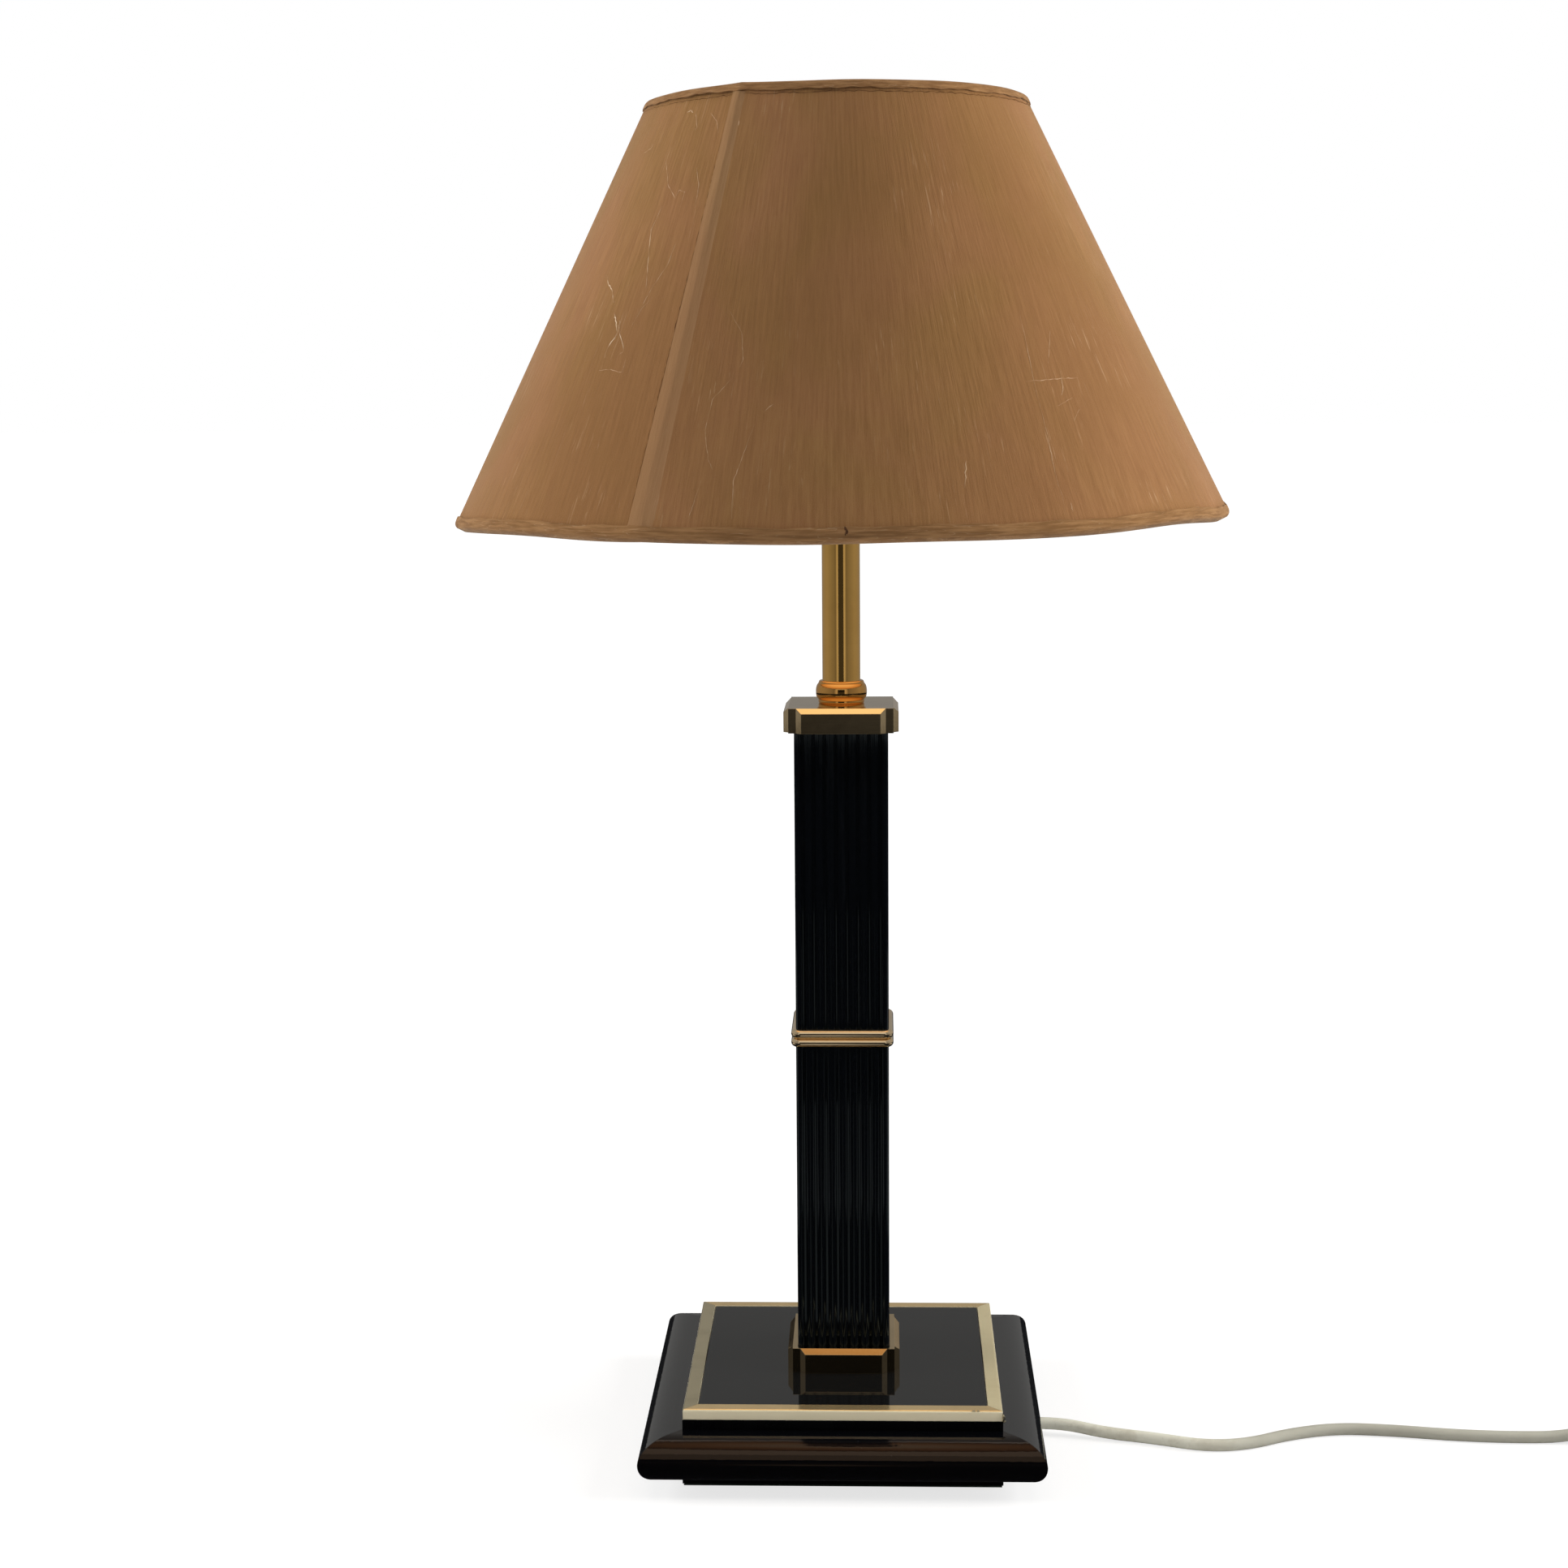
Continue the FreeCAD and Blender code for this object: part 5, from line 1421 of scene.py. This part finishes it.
@dataclass
class CardShade:
    """Conical card shade with lining, lapped seam, hoops, carrier and folded binding strips."""

    bottom_radius: float = 164.0 * MM
    top_radius: float = 79.0 * MM
    height: float = 173.3 * MM
    bottom_z: float = 404.7 * MM
    card: float = 0.9 * MM
    lining: float = 0.4 * MM
    wire: float = 1.75 * MM
    strip: float = 0.7 * MM
    strip_width: float = 4.5 * MM
    top_crown: float = 0.6 * MM
    lean: float = 0.0082
    lift: float = 0.7 * MM
    pivot: Point = (0.0, 0.0, 0.448)
    seam_start: float = math.radians(-118.7)
    seam_width: float = math.radians(3.7)
    seam_lift: float = 0.6 * MM
    ridge: float = 1.1 * MM
    ridge_reach: float = math.radians(5.5)
    play: float = 0.1 * MM
    crease: float = math.radians(40.0)
    girth: float = 0.12
    segments: int = 360
    strip_segments: int = 480
    hoop_segments: int = 180
    hoop_sides: int = 10
    seam_segments: int = 14
    card_steps: int = 48
    lining_steps: int = 24
    waves: Sequence[tuple[int, float, float]] = field(
        default_factory=lambda: ((3, 0.55, 0.4), (5, 0.35, 2.1), (8, 0.22, 4.0), (13, 0.12, 1.1))
    )
    rises: Sequence[tuple[float, float, float]] = (
        (math.radians(-36.0), 2.9 * MM, math.radians(15.0)),
        (math.radians(-141.0), 2.0 * MM, math.radians(23.0)),
    )
    carrier_bore: float = 19.85 * MM
    carrier_reach: float = 25.35 * MM
    carrier_z: float = 447.0 * MM
    carrier_height: float = 2.0 * MM
    carrier_edge: float = 0.3 * MM
    carrier_segments: int = 96
    spoke_wire: float = 1.6 * MM
    spoke_sides: int = 16
    weld_rise: float = 0.85
    spoke_course: Sequence[tuple[float, float]] = (
        (0.0, 1.0),
        (0.25, 1.0),
        (0.5, 1.0),
        (0.75, 1.0),
        (0.962, 1.0),
        (0.978, 1.22),
        (0.991, 1.18),
        (0.998, 0.9),
        (1.0, 0.5),
    )
    spoke_angles: Sequence[float] = (math.radians(90.0), math.radians(210.0), math.radians(330.0))
    mark_steps: int = 6
    mark_lift: float = 0.06 * MM
    mark_sway: float = 0.35 * MM

    @property
    def slant(self) -> float:
        """Length of the cone's side."""
        return math.hypot(self.bottom_radius - self.top_radius, self.height)

    @property
    def slope(self) -> float:
        """Angle of the cone's side from upright."""
        return math.atan2(self.bottom_radius - self.top_radius, self.height)

    @property
    def hoop_up(self) -> float:
        """Distance of a hoop's middle from the nearer rim, along the slope."""
        return self.strip + self.play + self.wire

    @property
    def hoop_out(self) -> float:
        """Distance of a hoop's middle out of the card's outer face, which is inwards."""
        return -self.card - self.lining - self.play - self.wire

    def wave(self, azimuth: float, shift: float) -> float:
        """Unevenness round a rim, in metres.

        Args:
            azimuth: angle round the shade.
            shift: angle that makes each rim's waves different.

        Returns:
            The unevenness.
        """
        total = sum(
            size * math.sin(count * (azimuth + shift) + phase) for count, size, phase in self.waves
        )
        return total * MM

    def surface(self, azimuth: float, up: float, out: float) -> Vector:
        """Point on or near the shade's uneven surface.

        Args:
            azimuth: angle round the shade.
            up: distance up the slope from the bottom rim.
            out: distance out of the card's outer face.

        Returns:
            The point in the row frame.
        """
        share = up / self.slant
        for middle_angle, height, reach in self.rises:
            away = math.remainder(azimuth - middle_angle, 2 * math.pi)
            up += height * math.exp(-((away / reach) ** 2)) * (1 - share) ** 2
        up += self.wave(azimuth, 0.0) * (1 - share) * 0.8 + self.wave(azimuth, 2.0) * share * 0.3
        out += self.wave(azimuth, 1.0) * 0.5 * (0.4 + 0.6 * (1 - share)) - 0.6 * MM
        from_seam = math.remainder(azimuth - self.seam_start - self.seam_width / 2, 2 * math.pi)
        out += self.ridge * math.exp(-abs(from_seam) / self.ridge_reach)
        radius = self.bottom_radius - up * math.sin(self.slope) + out * math.cos(self.slope)
        z = self.bottom_z + self.lift + up * math.cos(self.slope) + out * math.sin(self.slope)
        point = Vector((radius * math.cos(azimuth), radius * math.sin(azimuth), z))
        middle = Vector(self.pivot)
        return Matrix.Rotation(-self.lean, 3, "Y") @ (point - middle) + middle

    def swept(
        self,
        name: str,
        section: Callable[[float], Sequence[tuple[float, float]]],
        start: float = -math.pi,
        sweep: float = 2 * math.pi,
        segments: Optional[int] = None,
    ) -> bpy.types.Object:
        """Sweeps a closed section round the shade.

        Args:
            name: the piece's name.
            section: gives the section's (up, out) points at an azimuth.
            start: azimuth where it begins.
            sweep: how far it goes; a full turn closes on itself.
            segments: steps round.

        Returns:
            The piece.
        """
        steps = segments or self.segments
        whole = sweep > 2 * math.pi - 1e-6
        rings = steps if whole else steps + 1
        shape = bmesh.new()
        unrolled = shape.loops.layers.uv.new("unrolled")
        columns = []
        places = []
        for index in range(rings):
            azimuth = start + sweep * index / steps
            points = section(azimuth)
            columns.append([shape.verts.new(self.surface(azimuth, up, out)) for up, out in points])
            travelled = 0.0
            along = [0.0]
            for first, second in zip(points, points[1:]):
                travelled += math.hypot(second[0] - first[0], second[1] - first[1])
                along.append(travelled)
            places.append(along)
        count = len(columns[0])
        for index in range(steps):
            following = (index + 1) % rings
            for corner in range(count):
                after = (corner + 1) % count
                face = shape.faces.new(
                    (
                        columns[index][corner],
                        columns[following][corner],
                        columns[following][after],
                        columns[index][after],
                    )
                )
                face.smooth = True
                left = (start + sweep * index / steps) * self.girth
                right = (start + sweep * (index + 1) / steps) * self.girth
                low = places[index][corner]
                high = places[index][after] if after else places[index][corner] + MM
                for loop, spot in zip(
                    face.loops, ((left, low), (right, low), (right, high), (left, high))
                ):
                    loop[unrolled].uv = spot
        if not whole:
            shape.faces.new(columns[0])
            shape.faces.new(columns[-1][::-1])
        return finished_mesh(shape, name, self.crease)

    def layer(
        self, low: float, high: float, inner: float, outer: float, steps: int
    ) -> list[tuple[float, float]]:
        """Closed section of a layer of sheet.

        Args:
            low: its lower edge up the slope.
            high: its upper edge.
            inner: its inner face.
            outer: its outer face.
            steps: points up each face.

        Returns:
            The section's points.
        """
        rise = [low + (high - low) * index / steps for index in range(steps + 1)]
        return [(up, outer) for up in rise] + [(up, inner) for up in reversed(rise)]

    def strip_section(self, azimuth: float, top: bool) -> list[tuple[float, float]]:
        """Section of a binding strip folded over a rim.

        Args:
            azimuth: angle round the shade.
            top: True at the upper rim.

        Returns:
            The section's points.
        """
        wall = self.strip
        inside = -self.card - self.lining - 2 * self.wire - 2 * self.play
        ragged = 0.22 * MM * math.sin(23 * azimuth) + 0.16 * MM * math.sin(61 * azimuth + 1.3)
        width = self.strip_width + ragged
        gap = self.opening(azimuth) if top else 0.15 * MM * (1 + math.sin(17 * azimuth + 0.5))
        short = wall + self.wire
        points = [
            (0.05 * MM, -1.0 * MM),
            (0.4 * MM, -0.3 * MM),
            (1.0 * MM, 0.25 * MM),
            (1.8 * MM, 0.85 * wall),
            (width * 0.55, wall),
            (width * 0.8, wall + gap * 0.5),
            (width, wall * 0.85 + gap),
            (width, wall * 0.3 + gap),
            (width * 0.8, 0.05 * MM + gap * 0.5),
            (2.0 * MM, 0.03 * MM),
            (1.2 * MM, -0.4 * MM),
            (wall, inside + wall),
            (short, inside + wall),
            (short, inside),
            (0.4 * wall, inside),
            (0.0, inside + 0.5 * wall),
        ]
        if top:
            return [(self.slant + self.top_crown - up, out) for up, out in points]
        return points

    def opening(self, azimuth: float) -> float:
        """How far the upper strip's free edge stands off the card.

        Args:
            azimuth: angle round the shade.

        Returns:
            The gap in metres.
        """
        before = (self.seam_start - azimuth) % (2 * math.pi)
        lifted = math.exp(-((before - 0.25) / 0.28) ** 2) * 0.75 * MM
        return lifted + 0.14 * MM * (1 + math.sin(11 * azimuth))

    def build_skin(self) -> None:
        """Card, lining and the lapped seam."""
        low = 2.0 * MM
        high = self.slant - low
        steps = self.card_steps
        card = self.swept(
            "shade_card", lambda _: self.layer(low, high, -self.card, 0.0, steps)
        )
        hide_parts("shade_skin")
        CARD.put_on(card)
        back = -self.card - self.lining
        lining = self.swept(
            "shade_lining",
            lambda _: self.layer(low, high, back, -self.card, self.lining_steps),
        )
        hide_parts("shade_liner")
        PAPER.put_on(lining)
        seam = self.swept(
            "shade_lap",
            lambda azimuth: self.layer(
                self.strip_width * 0.9,
                self.slant - self.strip_width * 0.9,
                0.0,
                self.seam_profile(azimuth),
                steps,
            ),
            self.seam_start,
            self.seam_width,
            self.seam_segments,
        )
        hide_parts("shade_seam_lap")
        SEAM.put_on(seam)

    def seam_profile(self, azimuth: float) -> float:
        """Height of the lapped strip across its width.

        Args:
            azimuth: angle round the shade.

        Returns:
            Its outer face's distance from the card.
        """
        share = (azimuth - self.seam_start) / self.seam_width
        return self.seam_lift * 0.5 * (1 + math.cos(math.pi * share**1.5)) + 0.02 * MM

    def build_rims(self) -> None:
        """Wire hoops and the strips folded over them."""
        for top, name, node in ((False, "lower", "bottom"), (True, "upper", "top")):
            strip = self.swept(
                f"shade_strip_{name}",
                lambda azimuth, top=top: self.strip_section(azimuth, top),
                segments=self.strip_segments,
            )
            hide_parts(f"shade_binding_{node}")
            STRIP.put_on(strip)
            up = self.slant - self.hoop_up if top else self.hoop_up
            turns = [2 * math.pi * index / self.hoop_sides for index in range(self.hoop_sides)]
            circle = [
                (up + self.wire * math.cos(turn), self.hoop_out + self.wire * math.sin(turn))
                for turn in turns
            ]
            hoop = self.swept(
                f"shade_hoop_{name}",
                lambda _, circle=circle: circle,
                segments=self.hoop_segments,
            )
            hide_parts(f"shade_wire_{node}")
            PLATED.put_on(hoop)

    def add_spoke(self, shape: bmesh.types.BMesh, azimuth: float) -> None:
        """Adds one round spoke from the carrier's ring to a weld on the lower hoop.

        Args:
            shape: the mesh to add to.
            azimuth: angle at which it runs out.
        """
        root = self.carrier_reach - self.spoke_wire
        outward = Vector((math.cos(azimuth), math.sin(azimuth), 0.0))
        level = self.carrier_z + self.carrier_height - self.spoke_wire
        start = outward * root + Vector((0.0, 0.0, level))
        weld_up = self.hoop_up + self.weld_rise * self.wire
        run = self.surface(azimuth, weld_up, self.hoop_out) - start
        sideways = Vector((-outward.y, outward.x, 0.0))
        upwards = run.normalized().cross(sideways)
        turns = [2 * math.pi * index / self.spoke_sides for index in range(self.spoke_sides)]
        rings = []
        for share, swell in self.spoke_course:
            middle = start + run * share
            radius = self.spoke_wire * swell
            rings.append(
                [
                    shape.verts.new(
                        middle + (sideways * math.cos(turn) + upwards * math.sin(turn)) * radius
                    )
                    for turn in turns
                ]
            )
        skin_rings(shape, rings, closed=False)
        shape.faces.new(rings[0])
        shape.faces.new(rings[-1][::-1])

    def build_carrier(self) -> None:
        """Ring on the lampholder, with three spokes welded to the lower hoop."""
        low = self.carrier_z
        high = low + self.carrier_height
        edge = self.carrier_edge
        section = (
            (self.carrier_bore, low + edge),
            (self.carrier_bore + edge, low),
            (self.carrier_reach - edge, low),
            (self.carrier_reach, low + edge),
            (self.carrier_reach, high - edge),
            (self.carrier_reach - edge, high),
            (self.carrier_bore + edge, high),
            (self.carrier_bore, high - edge),
        )
        shape = bmesh.new()
        turn_profile(shape, section, self.carrier_segments)
        for azimuth in self.spoke_angles:
            self.add_spoke(shape, azimuth)
        carrier = finished_mesh(shape, "shade_carrier", self.crease)
        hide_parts("shade_spider")
        PLATED.put_on(carrier)

    def ribbon(
        self, shape: bmesh.types.BMesh, marks: Sequence[tuple[float, float]], width: float
    ) -> None:
        """Lays one thin mark on the card: a scratch, or a painted shadow or highlight line.

        Args:
            shape: the mesh to add to.
            marks: (azimuth in degrees, distance up the slope in mm) along it.
            width: its width at the middle, in metres.
        """
        steps = self.mark_steps
        spots = []
        for (first_angle, first_up), (last_angle, last_up) in zip(marks, marks[1:]):
            for index in range(steps):
                share = index / steps
                spots.append(
                    (
                        math.radians(first_angle + (last_angle - first_angle) * share),
                        (first_up + (last_up - first_up) * share) * MM,
                    )
                )
        spots.append((math.radians(marks[-1][0]), marks[-1][1] * MM))
        sway = min(self.mark_sway, width * 0.6)
        spots = [
            (
                azimuth + random.uniform(-sway, sway) / self.bottom_radius,
                up + random.uniform(-sway, sway),
            )
            for azimuth, up in spots
        ]
        before = None
        total = len(spots) - 1
        over_strip = marks[0][1] < self.strip_width / MM
        lift = self.strip + self.mark_lift if over_strip else self.mark_lift
        for index, (azimuth, up) in enumerate(spots):
            ahead = spots[min(index + 1, total)]
            behind = spots[max(index - 1, 0)]
            radius = self.bottom_radius - up * math.sin(self.slope)
            run = ((ahead[0] - behind[0]) * radius, ahead[1] - behind[1])
            size = math.hypot(*run) or 1.0
            half = width * random.uniform(0.3, 1.0) * (0.2 + 0.8 * math.sin(math.pi * index / total)) / 2
            side = (-run[1] / size * half / radius, run[0] / size * half)
            pair = [
                shape.verts.new(self.surface(azimuth + sign * side[0], up + sign * side[1], lift))
                for sign in (-1, 1)
            ]
            if before:
                shape.faces.new((before[0], before[1], pair[1], pair[0])).smooth = True
            before = pair

    def build_marks(self) -> None:
        """Scratches, a crack that shows the pale card, one dark spot, a painted shadow line along the
        seam and under the upper strip, and a painted highlight along the seam's edge.
        """
        edge = math.degrees(self.seam_start)
        top = self.slant / MM - 5.5
        # Painted shadow lines: one just left of the seam, one under the upper strip's free edge.
        crease = [(edge - 0.25, up) for up in range(6, 184, 8)]
        # Painted highlight along the seam's raised left edge.
        seam_highlight = [(edge + 0.12, up) for up in range(6, 188, 7)]
        under_strip = [(azimuth, top + 0.25) for azimuth in range(-180, 181, 6)]
        for name, finish, marks in (
            ("painted_shadow_line", SHADOW_LINE, ((0.5, crease), (0.55, under_strip))),
            ("painted_seam_highlight", SCRATCH, ((0.4, seam_highlight),)),
            ("shade_scratches", SCRATCH, SCRATCHES),
            ("shade_crack", CRACK, CRACKS),
            ("shade_spot", SPOT, SPOTS),
        ):
            shape = bmesh.new()
            for width, course in marks:
                self.ribbon(shape, course, width * MM)
            finish.put_on(finished_mesh(shape, name))

    def build(self) -> None:
        """Makes the whole shade."""
        self.build_skin()
        self.build_rims()
        self.build_carrier()
        self.build_marks()
        LOG.info("shade: slant %.1f mm", self.slant / MM)


# Each mark: width in mm, then (azimuth in degrees, distance up the slope in mm) along it.
Course = tuple[float, Sequence[tuple[float, float]]]

CRACKS: Sequence[Course] = (
    (0.6, ((-142.3, 111.8), (-140.8, 107.8), (-138.5, 104.8), (-136.5, 99.0))),
    (0.9, ((-135.2, 95.0), (-134.4, 92.2), (-132.4, 86.1))),
    (0.6, ((-132.8, 91.0), (-132.2, 86.5), (-133.7, 79.3), (-133.6, 74.7))),
    (0.35, ((-133.1, 89.6), (-129.2, 78.0), (-130.1, 76.3))),
    (0.7, ((-134.3, 182.6), (-133.0, 182.9), (-131.9, 182.3))),
)

SPOTS: Sequence[Course] = ((1.6, ((-88.6, 1.4), (-88.5, 3.0), (-88.7, 4.6))),)

SCRATCHES: Sequence[Course] = (
    (0.3, ((-133.8, 69.6), (-131.0, 70.0), (-128.2, 68.6), (-128.0, 73.1))),
    (0.3, ((-126.2, 101.0), (-128.1, 96.2), (-129.3, 88.3))),
    (0.5, ((-130.6, 181.5), (-128.4, 175.1), (-129.0, 173.6))),
    (0.4, ((-125.1, 180.8), (-122.0, 176.5), (-120.6, 171.3))),
    (0.4, ((-135.7, 160.7), (-132.0, 150.0), (-128.4, 143.9))),
    (0.3, ((-128.5, 143.2), (-127.9, 147.3), (-126.0, 146.4), (-126.0, 141.5))),
    (0.3, ((-124.5, 156.9), (-122.3, 148.8), (-121.7, 138.9))),
    (0.45, ((-131.7, 140.7), (-132.7, 130.9), (-130.5, 117.4), (-128.4, 103.2))),
    (0.35, ((-124.3, 123.7), (-124.8, 114.7), (-127.2, 104.5), (-128.8, 93.5))),
    (0.3, ((-144.6, 173.1), (-145.2, 168.1), (-149.1, 166.2))),
    (0.4, ((-115.2, 177.2), (-114.9, 173.6))),
    (0.25, ((-109.0, 93.9), (-106.1, 84.6), (-105.2, 73.4), (-105.7, 70.0))),
    (0.3, ((-106.8, 65.4), (-109.4, 56.8), (-109.8, 44.4), (-108.5, 32.2), (-107.6, 27.9))),
    (0.3, ((-102.2, 46.5), (-103.5, 32.1), (-104.3, 23.6), (-103.9, 8.3))),
    (0.35, ((-99.5, 55.1), (-100.9, 51.5))),
    (0.3, ((-109.1, 23.6), (-109.7, 12.5), (-110.0, 7.6))),
    (0.35, ((-58.0, 62.4), (-53.7, 63.1), (-50.1, 63.6), (-46.4, 63.5))),
    (0.25, ((-49.2, 84.0), (-50.9, 76.0), (-52.2, 70.0))),
    (0.4, ((-50.0, 66.7), (-50.8, 58.8), (-51.6, 56.2))),
    (0.3, ((-53.1, 52.0), (-49.4, 55.3))),
    (0.3, ((-48.8, 50.1), (-50.8, 45.4))),
    (0.25, ((-54.9, 93.3), (-55.5, 79.5), (-56.2, 65.8), (-56.5, 54.9))),
    (0.3, ((-56.5, 54.9), (-56.8, 38.6), (-57.4, 25.2), (-57.3, 11.9))),
    (0.6, ((-71.1, 30.6), (-71.9, 19.8))),
    (0.35, ((-56.2, 11.8), (-56.3, 8.1))),
)


# ---- solder on the frame ----


@dataclass
class FrameBlemishes:
    """Bead of solder at the frame's front right corner and two nicks beside it."""

    corner: Point = (0.0679, -0.0679, 0.0308)
    bead: float = 1.05 * MM
    nicks: Sequence[tuple[float, float]] = ((0.0553, 0.9), (0.0572, 0.6))
    rail_front: float = -0.0673
    rail_top: float = 0.03378

    def lump(self, shape: bmesh.types.BMesh, middle: Vector, size: Vector) -> None:
        """Adds one uneven lump.

        Args:
            shape: the mesh to add to.
            middle: its centre.
            size: its half width along each axis.
        """
        made = bmesh.ops.create_icosphere(shape, subdivisions=3, radius=1.0)
        for vert in made["verts"]:
            ways = vert.co.normalized()
            swell = 1.0 + 0.12 * math.sin(5 * ways.x + 2) + 0.10 * math.sin(6 * ways.z + 3 * ways.y)
            vert.co = middle + Vector((ways.x * size.x, ways.y * size.y, ways.z * size.z)) * swell

    def build(self) -> None:
        """Makes both blemishes as one piece."""
        shape = bmesh.new()
        self.lump(shape, Vector(self.corner), Vector((0.6, 0.6, 1.5)) * self.bead)
        low = Vector(self.corner) + Vector((0.2, 0.2, -1.4)) * self.bead
        self.lump(shape, low, Vector((0.7, 0.7, 0.6)) * self.bead)
        for along, size in self.nicks:
            middle = Vector((along, self.rail_front, self.rail_top))
            self.lump(shape, middle, Vector((size, 0.30, 0.14)) * MM)
        for face in shape.faces:
            face.smooth = True
        SOLDER.put_on(finished_mesh(shape, "frame_solder"))
        LOG.info("frame: solder bead and %d nicks", len(self.nicks))


# ---- collar ----


@dataclass
class TurnedCollar:
    """Turned brass collar on the capital, with a bead at its foot and a bead at its top."""

    bore: float = 8.2 * MM
    foot_z: float = 326.0 * MM
    segments: int = 120
    crease: float = math.radians(60.0)
    outline: Sequence[tuple[float, float]] = (
        (9.1, 0.00),
        (9.60, 0.25),
        (9.88, 0.75),
        (9.95, 1.30),
        (9.84, 1.70),
        (9.92, 1.90),
        (10.38, 2.35),
        (10.80, 3.20),
        (10.98, 4.40),
        (11.00, 5.60),
        (10.88, 6.80),
        (10.55, 7.85),
        (10.05, 8.60),
        (9.78, 8.95),
        (9.72, 9.20),
        (9.62, 9.60),
        (9.32, 9.88),
        (8.80, 10.0),
    )

    def build(self) -> None:
        """Turns the outline round the lamp's axis."""
        outline = [(radius * MM, self.foot_z + up * MM) for radius, up in self.outline]
        profile = [(self.bore, outline[0][1]), *outline, (self.bore, outline[-1][1])]
        shape = bmesh.new()
        turn_profile(shape, profile, self.segments)
        collar = finished_mesh(shape, "turned_collar", self.crease)
        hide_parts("collar")
        COLLAR.put_on(collar)
        LOG.info("collar: %d points in its outline", len(self.outline))


# ---- CAD parts that keep their shape ----


@dataclass
class CadDress:
    """Finishes for the CAD nodes that are shown as they are."""

    finishes: dict[str, Finish] = field(
        default_factory=lambda: {
            "base_felt": FELT,
            "bottom_cover": BOARD,
            "cover_screws": PLATED,
            "corner_blocks": SOFTWOOD,
            "base_deck": PLINTH,
            "ballast_disc": IRON,
            "top_plate": GLASS,
            "foot_ferrule": BLOCK,
            "capital": BLOCK,
            "lower_shaft": COLUMN,
            "upper_shaft": COLUMN,
            "mid_ring": RING,
            "neck_tube": TUBE,
            "threaded_rod": PLATED,
            "rod_nut": PLATED,
            "rod_washers": PLATED,
            "lampholder_cap": BLACK_PLASTIC,
            "lampholder_skirt": BLACK_PLASTIC,
            "lampholder_insert": STEATITE,
            "lampholder_screw_shell": CONTACT,
            "lampholder_contact": CONTACT,
            "terminal_screws": CONTACT,
            "shade_nut": BLACK_PLASTIC,
            "bulb_glass": MILKY,
            "bulb_cap": ALUMINIUM,
            "bulb_contact": INSULATOR,
            "strain_relief": RUBBER,
            "inner_cord": CORD,
            "core_wires": CORES,
            "cord_tie": TIE,
            "switch_base": CASE,
            "switch_cover": CASE,
            "switch_rocker": KEY,
            "plug_body": PLUG,
            "plug_pins": NICKEL,
        }
    )

    def build(self) -> None:
        """Puts the finishes on the nodes."""
        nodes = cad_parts
        # The right rail takes the paler copy of the brass, which is painted light.
        rails = {"left": FRAME_Y, "right": FRAME_LIT_RIGHT}
        for side in ("front", "right", "back", "left"):
            self.finishes[f"plinth_rail_{side}"] = PLINTH
            # The front moulding takes the darker copy with painted orange reflections.
            self.finishes[f"base_moulding_{side}"] = FRONT_MOULDING_PAINTED_LIGHT if side == "front" else MOULDING
            self.finishes[f"brass_rail_{side}"] = rails.get(side, FRAME_X)
        for name, finish in self.finishes.items():
            finish.put_on(nodes[name])
        LOG.info("dressed %d CAD nodes", len(self.finishes))


def main() -> None:
    """Builds the stage, the lead, the shade and the finishes in order."""
    logging.basicConfig(level=logging.INFO, format="%(name)s: %(message)s")
    random.seed(DRAW_SEED)
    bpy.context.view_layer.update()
    Studio().build()
    MainsLead().build()
    CardShade().build()
    FrameBlemishes().build()
    TurnedCollar().build()
    CadDress().build()


if __name__ == "__main__":
    main()
